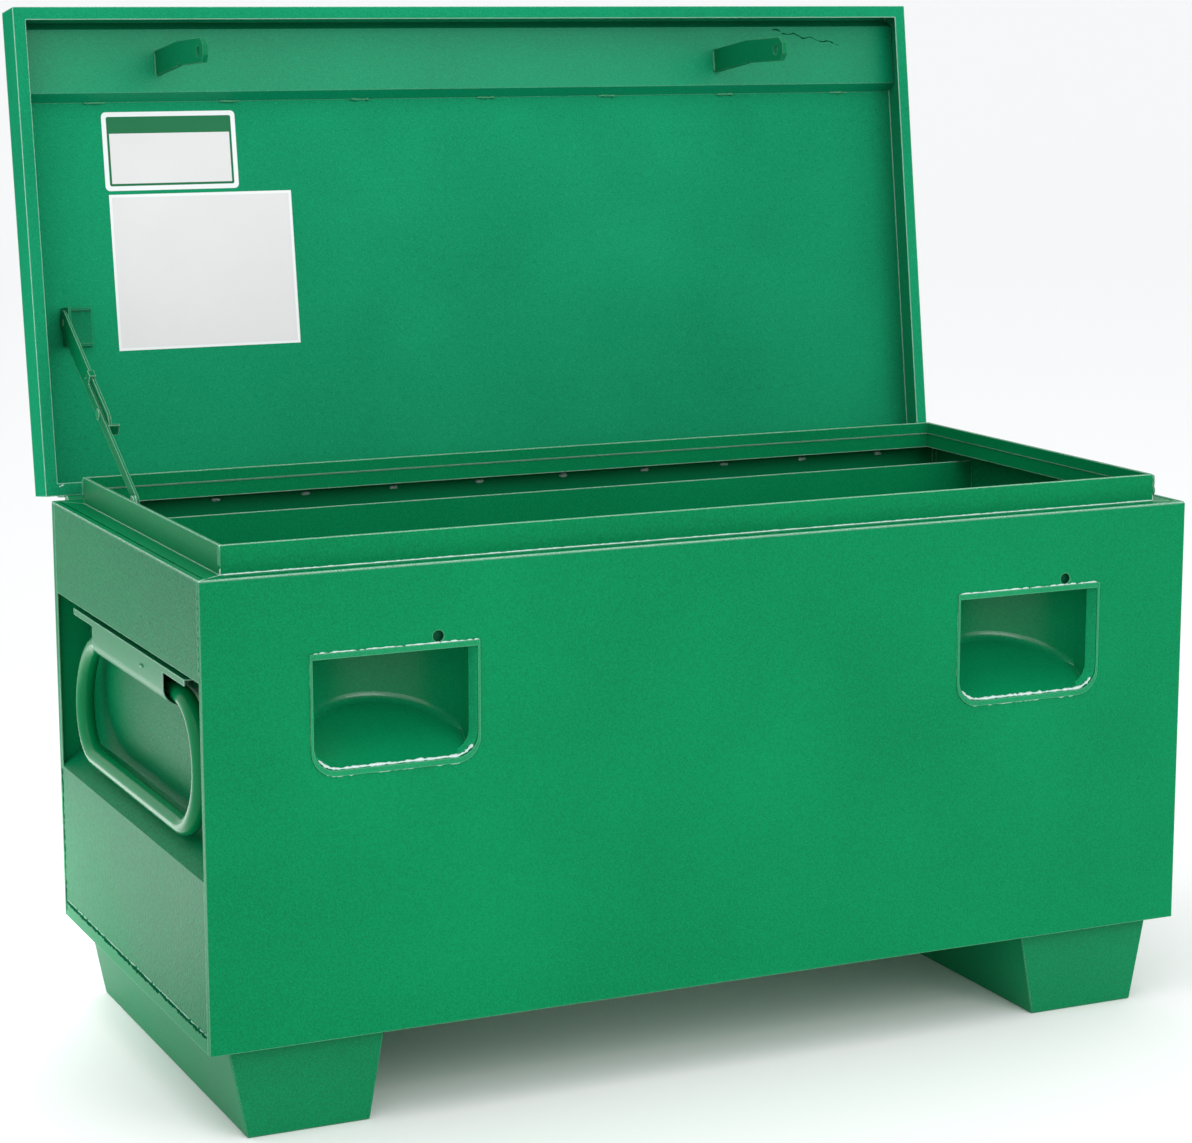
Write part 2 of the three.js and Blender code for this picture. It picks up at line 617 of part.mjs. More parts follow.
// Centre line of the handle rod: a wide loop with four round bends, seen along X.
// The pivot is at zero and the loop hangs down.
class HandleLine extends THREE.Curve {
  constructor() {
    super();
    const corners = [
      [HANDLE_TOP_HALF, 0, HANDLE_TOP_BEND],
      [HANDLE_FOOT_HALF, -HANDLE_DROP, HANDLE_FOOT_BEND],
      [-HANDLE_FOOT_HALF, -HANDLE_DROP, HANDLE_FOOT_BEND],
      [-HANDLE_TOP_HALF, 0, HANDLE_TOP_BEND],
    ];
    const start = [ROD_JOINT_GAP / 2, 0];
    const end = [-ROD_JOINT_GAP / 2, 0];
    const stops = [start].concat(corners.map(([y, z]) => [y, z]), [end]);
    this.pieces = [];
    let from = start;
    corners.forEach(([y, z, bend], i) => {
      const before = stops[i];
      const after = stops[i + 2];
      const into = new THREE.Vector2(y - before[0], z - before[1]).normalize();
      const out = new THREE.Vector2(after[0] - y, after[1] - z).normalize();
      const turn = Math.acos(into.dot(out));
      const cut = bend * Math.tan(turn / 2);
      const enter = [y - into.x * cut, z - into.y * cut];
      const centre = [enter[0] + into.y * bend, enter[1] - into.x * bend];
      const angle = Math.atan2(enter[1] - centre[1], enter[0] - centre[0]);
      this.pieces.push({ from, to: enter, size: Math.hypot(enter[0] - from[0], enter[1] - from[1]) });
      this.pieces.push({ centre, bend, angle, turn, size: bend * turn });
      from = [y + out.x * cut, z + out.y * cut];
    });
    this.pieces.push({ from, to: end, size: Math.hypot(end[0] - from[0], end[1] - from[1]) });
    this.total = this.pieces.reduce((sum, piece) => sum + piece.size, 0);
  }

  getPoint(t, target = new THREE.Vector3()) {
    let left = t * this.total;
    let piece = this.pieces[0];
    for (piece of this.pieces) {
      if (left <= piece.size) {
        break;
      }
      left -= piece.size;
    }
    const part = Math.min(left / piece.size, 1);
    if (piece.centre) {
      const angle = piece.angle - piece.turn * part;
      return target.set(
        0,
        piece.centre[0] + piece.bend * Math.cos(angle),
        piece.centre[1] + piece.bend * Math.sin(angle),
      );
    }
    return target.set(
      0,
      piece.from[0] + (piece.to[0] - piece.from[0]) * part,
      piece.from[1] + (piece.to[1] - piece.from[1]) * part,
    );
  }
}

function dropHandle() {
  const circle = arc([0, 0], ROD_RADIUS, 0.1, Math.PI * 2 + 0.1, 12).slice(1);
  const shape = new THREE.Shape(circle.map(([a, b]) => new THREE.Vector2(a, b)));
  const geometry = new THREE.ExtrudeGeometry(shape, { steps: 72, extrudePath: new HandleLine() });
  return toSolid(geometry);
}

// Plate in the plane of the stay: a flat arm along Y from its pivot, rounded around that pivot
function armPlate(half, length, x) {
  const outline = arc([0, 0], half, Math.PI * 0.5, Math.PI * 1.5, 10)
    .concat(arc([length, 0], half, -Math.PI * 0.5, Math.PI * 0.5, 10));
  return bar(outline, x, x + STAY_SHEET, 'x');
}

function pinHole(x, y) {
  return round(STAY_PIN_RADIUS + PIN_FIT, x - STAY_SHEET, x + STAY_SHEET * 2, y, 0, 16);
}

function lowerArm(length) {
  const end = length + LOWER_TAIL;
  const stop = UPPER_ARM_HALF + STAY_PLAY;
  const top = stop + STOP_LUG_THICKNESS;
  const x = LOWER_ARM_X;
  const over = x + STOP_LUG_WIDTH;
  return armPlate(LOWER_ARM_HALF, end - LOWER_ARM_HALF, x)
    .add(block(x, x + STAY_SHEET, end - LOWER_ARM_HALF - STOP_LUG_LENGTH, end - LOWER_ARM_HALF, 0, top))
    .add(block(x, over, end - LOWER_ARM_HALF - STOP_LUG_LENGTH, end - LOWER_ARM_HALF, stop, top))
    .subtract(pinHole(x, 0))
    .subtract(pinHole(x, length));
}

function upperArm(length) {
  const x = UPPER_ARM_X;
  const end = length + UPPER_TAIL;
  const tab = block(
    x, x + STAY_SHEET + THUMB_TAB_WIDTH,
    end - THUMB_TAB_LENGTH, end,
    -THUMB_TAB_HALF, THUMB_TAB_HALF,
  );
  return armPlate(UPPER_ARM_HALF, end - UPPER_ARM_HALF, x)
    .add(tab)
    .subtract(pinHole(x, 0))
    .subtract(pinHole(x, length));
}

function stayFoot() {
  const x = EAR_X;
  const foot = STAY_FOOT_Z - EAR_FOOT_DROP;
  const outline = arc([STAY_FOOT_Y, STAY_FOOT_Z], LOWER_ARM_HALF, 0, Math.PI, 8)
    .concat([[STAY_FOOT_Y - EAR_HALF, foot], [STAY_FOOT_Y + EAR_HALF, foot]]);
  const hole = round(
    STAY_PIN_RADIUS + PIN_FIT, x - STAY_SHEET, x + STAY_SHEET * 2, STAY_FOOT_Y, STAY_FOOT_Z, 16,
  );
  return bar(outline, x, x + STAY_SHEET, 'x').subtract(hole);
}

function stayBracket() {
  const [y0, skin] = lidPoint(STAY_LID_U + BRACKET_ABOVE_PIN, SHEET);
  const [y1] = lidPoint(STAY_LID_U - BRACKET_BELOW_PIN, SHEET);
  const [pinY, pinZ] = lidPoint(STAY_LID_U, STAY_LID_W);
  const x = BRACKET_X;
  const web = block(x, x + STAY_SHEET, y0, y1, skin - BRACKET_RISE, skin);
  const flange = block(x, x + BRACKET_FLANGE, y0, y1, skin - STAY_SHEET, skin);
  const lip = skin - BRACKET_LIP;
  const highLip = block(x, x + BRACKET_FLANGE, y0, y0 + STAY_SHEET, lip, skin);
  const lowLip = block(x, x + BRACKET_FLANGE, y1 - STAY_SHEET, y1, lip, skin);
  const hole = round(STAY_PIN_RADIUS + PIN_FIT, x - STAY_SHEET, x + STAY_SHEET * 2, pinY, pinZ, 16);
  return web.add(flange).add(highLip).add(lowLip).subtract(hole);
}

function rivet(shankFrom, shankTo, headSide, y, z) {
  const shank = round(STAY_PIN_RADIUS, shankFrom, shankTo, y, z, 16);
  if (headSide === 0) {
    return shank;
  }
  const at = headSide < 0 ? shankFrom - RIVET_HEAD_HEIGHT : shankTo;
  return shank.add(round(RIVET_HEAD_RADIUS, at, at + RIVET_HEAD_HEIGHT, y, z, 16));
}

// The stay in its open place
function turned([y, z], angle) {
  const dy = y - HINGE_Y;
  const dz = z - HINGE_Z;
  return [
    HINGE_Y + dy * Math.cos(angle) - dz * Math.sin(angle),
    HINGE_Z + dy * Math.sin(angle) + dz * Math.cos(angle),
  ];
}

const stayLidClosed = lidPoint(STAY_LID_U, STAY_LID_W);
const stayLidOpen = turned(stayLidClosed, LID_TURN);
const openSpan = Math.hypot(stayLidOpen[0] - STAY_FOOT_Y, stayLidOpen[1] - STAY_FOOT_Z);
const closedSpan = Math.hypot(stayLidClosed[0] - STAY_FOOT_Y, stayLidClosed[1] - STAY_FOOT_Z);
const lowerLength = (openSpan - closedSpan) / 2;
const upperLength = (openSpan + closedSpan) / 2;
const stayAngle = Math.atan2(stayLidOpen[1] - STAY_FOOT_Z, stayLidOpen[0] - STAY_FOOT_Y);

// Assembly

const storageBox = new THREE.Group();
storageBox.name = 'jobsite_storage_box';
const fixed = new THREE.Group();
fixed.name = 'body';
storageBox.add(fixed);

fixed.add(node('front_panel', frontPanel()));
fixed.add(node('rear_panel', rearPanel()));
fixed.add(node('left_end_panel', endPanel(endOutline())));
fixed.add(node('right_end_panel', endPanel(mirrored(endOutline()))));
fixed.add(node('floor_panel', floorPanel()));
fixed.add(node('front_rim_rail', longRail('front')));
fixed.add(node('rear_rim_rail', longRail('rear')));
fixed.add(node('left_rim_rail', endRail('left')));
fixed.add(node('right_rim_rail', endRail('right')));
fixed.add(node('left_skid', skid(-1)));
fixed.add(node('right_skid', skid(1)));
fixed.add(node('left_lock_pocket', lockPocket(-POCKET_X, LEFT_TONGUE_X)));
fixed.add(node('right_lock_pocket', lockPocket(POCKET_X, RIGHT_TONGUE_X)));
fixed.add(node('tool_shelf', toolShelf()));
fixed.add(node('hinge_body_leaf', hingeBodyLeaf()));
fixed.add(node('hinge_pin', hingePin()));
fixed.add(node('stay_foot', stayFoot()));
fixed.add(node('stay_foot_pin', rivet(EAR_X, LOWER_ARM_X + STAY_SHEET, 0, STAY_FOOT_Y, STAY_FOOT_Z)));

const leftStrap = node('left_handle_strap', handleStrap());
const rightStrap = node('right_handle_strap', handleStrap().mirror([1, 0, 0]));
fixed.add(leftStrap);
fixed.add(rightStrap);

for (const side of [-1, 1]) {
  const handle = node(side < 0 ? 'left_handle' : 'right_handle', dropHandle());
  handle.position.set(side * ROD_X, HANDLE_SHIFT, ROD_Z);
  handle.rotation.y = -side * HANDLE_LEAN;
  storageBox.add(handle);
}

// The lid parts are drawn closed and the group turns them open about the hinge line
const lid = new THREE.Group();
lid.name = 'lid';
lid.position.set(0, HINGE_Y, HINGE_Z);
lid.rotation.x = LID_TURN;
const lidParts = new THREE.Group();
lidParts.name = 'lid_parts';
lidParts.position.set(0, -HINGE_Y, -HINGE_Z);
lid.add(lidParts);
storageBox.add(lid);

lidParts.add(node('lid_pan', lidPan()));
lidParts.add(node('lid_channel', lidChannel()));
lidParts.add(node('hinge_lid_leaf', hingeLidLeaf()));
lidParts.add(node('left_latch_tongue', latchTongue(LEFT_TONGUE_X, TONGUE_ROOT_U + LEFT_TONGUE_RISE)));
lidParts.add(node('right_latch_tongue', latchTongue(RIGHT_TONGUE_X, TONGUE_ROOT_U)));
lidParts.add(node('stay_bracket', stayBracket()));
lidParts.add(node('stay_bracket_pin', rivet(
  UPPER_ARM_X, BRACKET_X + STAY_SHEET, 1, stayLidClosed[0], stayLidClosed[1],
)));

const lower = new THREE.Group();
lower.name = 'lower_stay';
lower.position.set(0, STAY_FOOT_Y, STAY_FOOT_Z);
lower.rotation.x = stayAngle;
lower.add(node('lower_arm', lowerArm(lowerLength)));
lower.add(node('elbow_rivet_head', rivet(LOWER_ARM_X, LOWER_ARM_X + STAY_SHEET, -1, lowerLength, 0)));
storageBox.add(lower);

const upper = new THREE.Group();
upper.name = 'upper_stay';
upper.position.set(0, stayLidOpen[0], stayLidOpen[1]);
upper.rotation.x = stayAngle + Math.PI;
upper.add(node('upper_arm', upperArm(upperLength)));
upper.add(node('elbow_rivet_tail', rivet(UPPER_ARM_X, UPPER_ARM_X + STAY_SHEET, 1, upperLength, 0)));
storageBox.add(upper);

// The origin goes to the middle of the open box on the floor
const middle = new THREE.Box3().setFromObject(storageBox, true).getCenter(new THREE.Vector3());
storageBox.position.y = -middle.y;
storageBox.updateMatrixWorld(true);

export default storageBox;
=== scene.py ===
# %% [markdown]
# # A jobsite storage box in green powder coat
# The box is welded from bent steel sheet, so nearly everything it shows is flat metal, folded edges and
# weld beads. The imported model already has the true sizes. This lesson gives it soft bends, a paint that
# behaves like powder coat, smooth rods, weld beads and blank labels.

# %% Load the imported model
import math
import random

import bmesh
import bpy
from mathutils import Matrix, Vector


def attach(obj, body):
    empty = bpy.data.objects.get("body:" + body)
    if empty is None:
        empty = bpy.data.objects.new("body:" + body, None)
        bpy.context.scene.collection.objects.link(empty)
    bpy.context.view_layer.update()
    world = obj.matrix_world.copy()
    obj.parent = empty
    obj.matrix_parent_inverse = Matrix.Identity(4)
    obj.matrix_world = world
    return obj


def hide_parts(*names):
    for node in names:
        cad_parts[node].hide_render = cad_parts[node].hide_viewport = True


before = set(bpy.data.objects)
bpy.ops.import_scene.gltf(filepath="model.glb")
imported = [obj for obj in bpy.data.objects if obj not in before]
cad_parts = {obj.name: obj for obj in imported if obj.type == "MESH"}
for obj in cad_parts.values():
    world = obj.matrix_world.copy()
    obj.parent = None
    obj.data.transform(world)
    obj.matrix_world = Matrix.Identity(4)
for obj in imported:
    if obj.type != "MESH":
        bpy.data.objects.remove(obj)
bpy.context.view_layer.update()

scene = bpy.context.scene
scene.view_settings.view_transform = "Standard"
print("nodes", len(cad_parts))

# %% [markdown]
# Drawings of the box are in millimetres from the middle of its body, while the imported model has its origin
# under the middle of the open box. One small helper turns a drawing place into metres in that frame. Moving
# the finished objects would do too, but each would then carry a paint grain that starts at its own origin.

# %% Drawing places in metres
ORIGIN_BACK = 64.8794
HALF_LENGTH = 533.4
HALF_DEPTH = 254
LEDGE_Z = 538.2


def place(x, y, z):
    return Vector((x / 1000, (y - ORIGIN_BACK) / 1000, z / 1000))


print("front left corner of the ledge", place(-HALF_LENGTH, -HALF_DEPTH, LEDGE_Z))

# %% [markdown]
# The open lid leans eight degrees back. Things on it are drawn flat, as x along the lid, u up from its
# hinged edge and w out from its skin, and one matrix carries them into the open place. So no number below
# has to hold the lean of the lid.

# %% Lid places
LID_LEAN = math.radians(8)
LID_HEEL = place(0, 314.155, 534.041)
lid_up = Vector((0, math.sin(LID_LEAN), math.cos(LID_LEAN)))
lid_out = Vector((0, -math.cos(LID_LEAN), math.sin(LID_LEAN)))
LID_FRAME = Matrix((
    (1, lid_up.x, lid_out.x, LID_HEEL.x),
    (0, lid_up.y, lid_out.y, LID_HEEL.y),
    (0, lid_up.z, lid_out.z, LID_HEEL.z),
    (0, 0, 0, 1),
))


def on_lid(x, u, w):
    return LID_FRAME @ Vector((x / 1000, u / 1000, w / 1000))


print("top of the lid skin", on_lid(0, 510.9, 0))

# %% [markdown]
# ## Camera, floor and light
# The camera stands to the front left, well above the rim. Its place came from matching the edges of
# the box, so the same numbers are typed here as a position and three turns. A Track To constraint could aim
# it at the box, but couldn't give the small roll.

# %% Camera
CAMERA_AT = place(-1340.34, -2865.57, 1040.06)
YAW, PITCH, ROLL = 0.4306, 0.1802, -0.0018
FOCAL_PIXELS = 3072.1
PHOTO_WIDTH = 1192
SENSOR_WIDTH = 36
CLIP_END = 60
forward = Vector((math.sin(YAW) * math.cos(PITCH), math.cos(YAW) * math.cos(PITCH), -math.sin(PITCH)))
level = Vector((math.cos(YAW), -math.sin(YAW), 0))
rise = level.cross(forward)
right = level * math.cos(ROLL) + rise * math.sin(ROLL)
up = rise * math.cos(ROLL) - level * math.sin(ROLL)
turn = Matrix((right, up, -forward)).transposed()
camera_data = bpy.data.cameras.new("photo_camera")
camera_data.lens = SENSOR_WIDTH * FOCAL_PIXELS / PHOTO_WIDTH
camera_data.clip_end = CLIP_END
camera = bpy.data.objects.new("photo_camera", camera_data)
camera.matrix_world = Matrix.Translation(CAMERA_AT) @ turn.to_4x4()
scene.collection.objects.link(camera)
scene.camera = camera
print("lens", round(camera_data.lens, 2))

# %% [markdown]
# The floor is pale and curves up into a backdrop behind the box. A flat plane would do for the shadow, but
# its far edge would show as a line. So it is one grid whose far edge is spun a quarter turn.

# %% Floor that curves up into a backdrop
def paint(name, color, roughness, gloss=0.5):
    material = bpy.data.materials.new(name)
    material.use_nodes = True
    shader = material.node_tree.nodes["Principled BSDF"]
    shader.inputs["Base Color"].default_value = (*color, 1)
    shader.inputs["Roughness"].default_value = roughness
    shader.inputs["Specular IOR Level"].default_value = gloss
    return material


FLOOR_HALF = 9
COVE_RADIUS = 3
COVE_STEPS = 16
floor_mesh = bmesh.new()
bmesh.ops.create_grid(floor_mesh, x_segments=1, y_segments=1, size=FLOOR_HALF)
back_edge = [e for e in floor_mesh.edges if all(v.co.y > FLOOR_HALF - 0.1 for v in e.verts)]
bmesh.ops.spin(
    floor_mesh, geom=back_edge, cent=(0, FLOOR_HALF, COVE_RADIUS), axis=(1, 0, 0),
    angle=math.radians(90), steps=COVE_STEPS, use_duplicate=False,
)
for face in floor_mesh.faces:
    face.smooth = True
floor_data = bpy.data.meshes.new("pale_floor")
floor_mesh.to_mesh(floor_data)
floor_mesh.free()
floor = bpy.data.objects.new("pale_floor", floor_data)
scene.collection.objects.link(floor)
floor.data.materials.append(paint("pale_floor", (0.94, 0.94, 0.94), 0.8, gloss=0.1))
print("floor faces", len(floor.data.polygons))

# %% [markdown]
# The light is that of a plain studio: a bright room, one large soft box in front, one above, and a weak
# glow near the floor on the left. The left end faces away from both boxes, so the glow is what fills it. A
# picture of a studio could light the room too, but plain lamps are easier to name, move and weigh.

# %% Lights
world = bpy.data.worlds.new("soft_room")
scene.world = world
world.use_nodes = True
world.node_tree.nodes["Background"].inputs["Color"].default_value = (0.98, 0.99, 1, 1)
world.node_tree.nodes["Background"].inputs["Strength"].default_value = 1


def soft_light(name, at, aim, size, power):
    data = bpy.data.lights.new(name, "AREA")
    data.shape = "RECTANGLE"
    data.size, data.size_y = size
    data.energy = power
    light = bpy.data.objects.new(name, data)
    light.location = at
    light.rotation_euler = (Vector(aim) - Vector(at)).to_track_quat("-Z", "Y").to_euler()
    scene.collection.objects.link(light)
    return light


BOX_MIDDLE = (0, 0, 0.4)
soft_light("front_softbox", at=(0.6, -3.8, 2.4), aim=BOX_MIDDLE, size=(3.0, 2.2), power=48)
soft_light("top_softbox", at=(-0.6, -0.8, 3.4), aim=BOX_MIDDLE, size=(3.2, 2.6), power=24)
soft_light("left_floor_glow", at=(-1.05, 0.8, 0.26), aim=(-1.05, 0.8, 0), size=(0.9, 1.2), power=11)

# %% [markdown]
# ## Powder coat
# Powder coat is one thick even layer. It shows a fine orange peel, slow changes of tone over a panel and a
# lighter line where a sharp edge catches the light; that line is a painted highlight in the colour. Each
# effect is a node group, so every green part shares it and only the amounts differ.

# %% Orange peel group
def group_shell(name, inputs, outputs):
    group = bpy.data.node_groups.new(name, "ShaderNodeTree")
    for label, kind, value in inputs:
        socket = group.interface.new_socket(name=label, in_out="INPUT", socket_type=kind)
        socket.default_value = value
    for label, kind in outputs:
        group.interface.new_socket(name=label, in_out="OUTPUT", socket_type=kind)
    return group, group.nodes.new("NodeGroupInput"), group.nodes.new("NodeGroupOutput")


peel, peel_in, peel_out = group_shell(
    "orange_peel",
    [("Scale", "NodeSocketFloat", 420.0), ("Cloud Scale", "NodeSocketFloat", 5.0)],
    [("Speckle", "NodeSocketFloat"), ("Cloud", "NodeSocketFloat")],
)
coords = peel.nodes.new("ShaderNodeTexCoord")
fine = peel.nodes.new("ShaderNodeTexNoise")
fine.inputs["Detail"].default_value = 3
fine.inputs["Roughness"].default_value = 0.65
cloud = peel.nodes.new("ShaderNodeTexNoise")
cloud.inputs["Detail"].default_value = 2
peel.links.new(coords.outputs["Object"], fine.inputs["Vector"])
peel.links.new(coords.outputs["Object"], cloud.inputs["Vector"])
peel.links.new(peel_in.outputs["Scale"], fine.inputs["Scale"])
peel.links.new(peel_in.outputs["Cloud Scale"], cloud.inputs["Scale"])
peel.links.new(fine.outputs["Fac"], peel_out.inputs["Speckle"])
peel.links.new(cloud.outputs["Fac"], peel_out.inputs["Cloud"])
print("orange peel nodes", len(peel.nodes))

# %% [markdown]
# A Bevel node gives the normal that a surface would have with rounded edges. Where it turns away from the
# true normal there is an edge, and how far it turns becomes a mask. Pointiness finds edges too, but only on
# a dense mesh, and these sheets have few faces.

# %% Edge light group
# The mask tells the coats where to paint their highlight on sharp edges.
edges, edges_in, edges_out = group_shell(
    "edge_light",
    [
        ("Radius", "NodeSocketFloat", 0.0016),
        ("Low", "NodeSocketFloat", 0.03),
        ("High", "NodeSocketFloat", 0.25),
    ],
    [("Mask", "NodeSocketFloat")],
)
soft = edges.nodes.new("ShaderNodeBevel")
soft.samples = 4
hard = edges.nodes.new("ShaderNodeNewGeometry")
match = edges.nodes.new("ShaderNodeVectorMath")
match.operation = "DOT_PRODUCT"
turned = edges.nodes.new("ShaderNodeMath")
turned.operation = "SUBTRACT"
turned.inputs[0].default_value = 1
spread = edges.nodes.new("ShaderNodeMapRange")
edges.links.new(edges_in.outputs["Radius"], soft.inputs["Radius"])
edges.links.new(soft.outputs["Normal"], match.inputs[0])
edges.links.new(hard.outputs["Normal"], match.inputs[1])
edges.links.new(match.outputs["Value"], turned.inputs[1])
edges.links.new(turned.outputs["Value"], spread.inputs["Value"])
edges.links.new(edges_in.outputs["Low"], spread.inputs["From Min"])
edges.links.new(edges_in.outputs["High"], spread.inputs["From Max"])
edges.links.new(spread.outputs["Result"], edges_out.inputs["Mask"])
print("edge light nodes", len(edges.nodes))

# %% [markdown]
# Colours are chosen as they look on a screen, from 0 to 255, while a shader counts in linear light. So each
# one is converted where it is named.

# %% Colours in linear light
def srgb(red, green, blue):
    def linear(value):
        value /= 255
        return value / 12.92 if value <= 0.04045 else ((value + 0.055) / 1.055) ** 2.4
    return (linear(red), linear(green), linear(blue))


GREEN = srgb(4, 127, 78)
PAINTED_EDGE_HIGHLIGHT = srgb(226, 250, 240)
print("main green in linear light", [round(value, 4) for value in GREEN])

# %% [markdown]
# A material is a tree of nodes. Four small helpers add a node with its values, so that the coat itself reads
# as a list of what feeds what.

# %% Node helpers
def add_group(tree, group, values):
    node = tree.nodes.new("ShaderNodeGroup")
    node.node_tree = group
    for label, value in values.items():
        node.inputs[label].default_value = value
    return node


def add_math(tree, operation, second):
    node = tree.nodes.new("ShaderNodeMath")
    node.operation = operation
    node.inputs[1].default_value = second
    return node


def add_mix(tree, first, second):
    node = tree.nodes.new("ShaderNodeMix")
    node.data_type = "RGBA"
    node.inputs["A"].default_value = (*first, 1)
    node.inputs["B"].default_value = (*second, 1)
    return node


def add_bump(tree, height, strength, distance):
    """A bump from one height, fed into the shader."""
    node = tree.nodes.new("ShaderNodeBump")
    node.inputs["Strength"].default_value = strength
    node.inputs["Distance"].default_value = distance
    tree.links.new(height, node.inputs["Height"])
    tree.links.new(node.outputs["Normal"], tree.nodes["Principled BSDF"].inputs["Normal"])


# %% [markdown]
# The coat is one Principled shader. The fine grain and the slow clouds swing its tone between a darker and a
# lighter green, and the mask of the edges mixes in a pale one as a painted highlight. The clouds also change
# the roughness, and the grain gives the bump. A painted picture could do this too, but noise needs no
# unwrapping and stays sharp from near.

# %% Green powder coat
EDGE_RADIUS = 0.0016
EDGE_LOW, EDGE_HIGH = 0.03, 0.14
CLOUD_SCALE = 5
SPECKLE_SHARE = 0.75
SMOOTHER, ROUGHER = 0.06, 0.08
PEEL_STRENGTH = 0.5


def powder_coat(
    name, color, roughness=0.4, speckle=0.75, edge=0.6, gloss=0.06, peel_depth=0.0002, scale=650,
):
    """Green paint. Speckle is how far its tone swings, edge how strongly a painted highlight pales its sharp
    edges.
    """
    material = paint(name, color, roughness, gloss)
    tree = material.node_tree
    shader = tree.nodes["Principled BSDF"]
    grain = add_group(tree, peel, {"Scale": scale, "Cloud Scale": CLOUD_SCALE})
    rim = add_group(tree, edges, {"Radius": EDGE_RADIUS, "Low": EDGE_LOW, "High": EDGE_HIGH})

    slow = add_math(tree, "MULTIPLY", 1 - SPECKLE_SHARE)
    mixed = add_math(tree, "MULTIPLY_ADD", SPECKLE_SHARE)
    dark = [c * (1 - speckle) for c in color]
    light = [min(1, c * (1 + speckle)) for c in color]
    tone = add_mix(tree, dark, light)
    tree.links.new(grain.outputs["Cloud"], slow.inputs[0])
    tree.links.new(grain.outputs["Speckle"], mixed.inputs[0])
    tree.links.new(slow.outputs["Value"], mixed.inputs[2])
    tree.links.new(mixed.outputs["Value"], tone.inputs["Factor"])

    # Painted highlight: the edge mask mixes a pale green into the base colour.
    amount = add_math(tree, "MULTIPLY", edge)
    edge_highlight = add_mix(tree, color, PAINTED_EDGE_HIGHLIGHT)
    tree.links.new(rim.outputs["Mask"], amount.inputs[0])
    tree.links.new(amount.outputs["Value"], edge_highlight.inputs["Factor"])
    tree.links.new(tone.outputs["Result"], edge_highlight.inputs["A"])
    tree.links.new(edge_highlight.outputs["Result"], shader.inputs["Base Color"])

    finish = tree.nodes.new("ShaderNodeMapRange")
    finish.inputs["To Min"].default_value = roughness - SMOOTHER
    finish.inputs["To Max"].default_value = roughness + ROUGHER
    tree.links.new(grain.outputs["Cloud"], finish.inputs["Value"])
    tree.links.new(finish.outputs["Result"], shader.inputs["Roughness"])
    add_bump(tree, grain.outputs["Speckle"], PEEL_STRENGTH, peel_depth)
    return material


panel_coat = powder_coat("panel_coat", GREEN)
print("nodes in one coat", len(panel_coat.node_tree.nodes))

# %% [markdown]
# One green doesn't do for the whole box: the ends, the lid and the rails each take the light in their own
# way. So the coats below are copies of that green, each toned a little lighter or darker for how its part is
# lit, which is painted light and shade. They share the same groups and differ only in tone, gloss, grain and
# edge.

# %% Coats of the single pieces
front_coat = powder_coat("front_coat", GREEN, edge=0.2)
end_coat = powder_coat("end_coat", srgb(4, 116, 72), speckle=0.9, edge=0.5, peel_depth=0.001, scale=320)
skid_coat = powder_coat("skid_coat", srgb(4, 122, 76), gloss=0.12, edge=0.3)
lid_coat = powder_coat("lid_coat", srgb(24, 138, 95), edge=0.9, gloss=0.0)
channel_coat = powder_coat("channel_coat", srgb(7, 136, 94), edge=0.4, gloss=0.2)
small_coat = powder_coat("small_part_coat", srgb(6, 124, 76), roughness=0.36, gloss=0.15, edge=0.9)
pocket_coat = powder_coat("pocket_coat", srgb(6, 134, 84), roughness=0.34, gloss=0.2, edge=0.12)
# The floor line coat is glossier and a touch paler than the pocket coat: a slight painted highlight.
floor_line_coat = powder_coat("floor_line_coat", srgb(10, 136, 88), roughness=0.24, edge=0.0, gloss=0.9)
bracket_coat = powder_coat("bracket_coat", srgb(6, 118, 78), edge=0.08)
tongue_coat = powder_coat("tongue_coat", srgb(6, 116, 74), edge=0.1)
arm_coat = powder_coat("arm_coat", srgb(5, 112, 68), edge=0.45, gloss=0.02)
rim_coat = powder_coat("rim_coat", srgb(5, 126, 76), edge=1.0, gloss=0.05)
# Painted light: the flare coat is far lighter than the front green, so the slope of each mouth looks lit.
painted_light_flare_coat = powder_coat("painted_light_flare_coat", srgb(40, 225, 140), edge=0.0)
# Painted shade: the key sleeves are a dark green that stands in for the shade inside the holes.
painted_shade_sleeve_coat = powder_coat("painted_shade_sleeve_coat", srgb(8, 84, 56), edge=0.0)
rod_coat = powder_coat("rod_coat", srgb(5, 124, 72), roughness=0.18, speckle=0.1, edge=0.0, gloss=0.3)
rod_coat.node_tree.nodes["Principled BSDF"].inputs["IOR"].default_value = 1.32
weld_coat = powder_coat("weld_coat", srgb(16, 130, 84), roughness=0.25, speckle=0.3, edge=0.25, gloss=0.6)
# Painted highlight: a near white weld coat that stands in for the shine on the brightest beads.
painted_highlight_weld_coat = powder_coat(
    "painted_highlight_weld_coat", srgb(190, 230, 210), roughness=0.2, speckle=0.6, edge=0.4, gloss=0.7,
)
# Painted shade: a dark green without gloss for the dark lines at the laps, the ledge joints, the wrinkle and
# the right side of each pocket mouth.
shade_coat = powder_coat("shade_coat", srgb(5, 80, 50), edge=0.0, gloss=0.0)
print("coats", [m.name for m in bpy.data.materials if m.name.endswith("coat")])

# %% [markdown]
# ## Sheet edges
# A shear leaves a slightly rounded edge and a press brake a small bend radius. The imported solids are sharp
# and cut into triangles. Modifiers join the flat faces again and round the edges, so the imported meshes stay
# as they are.

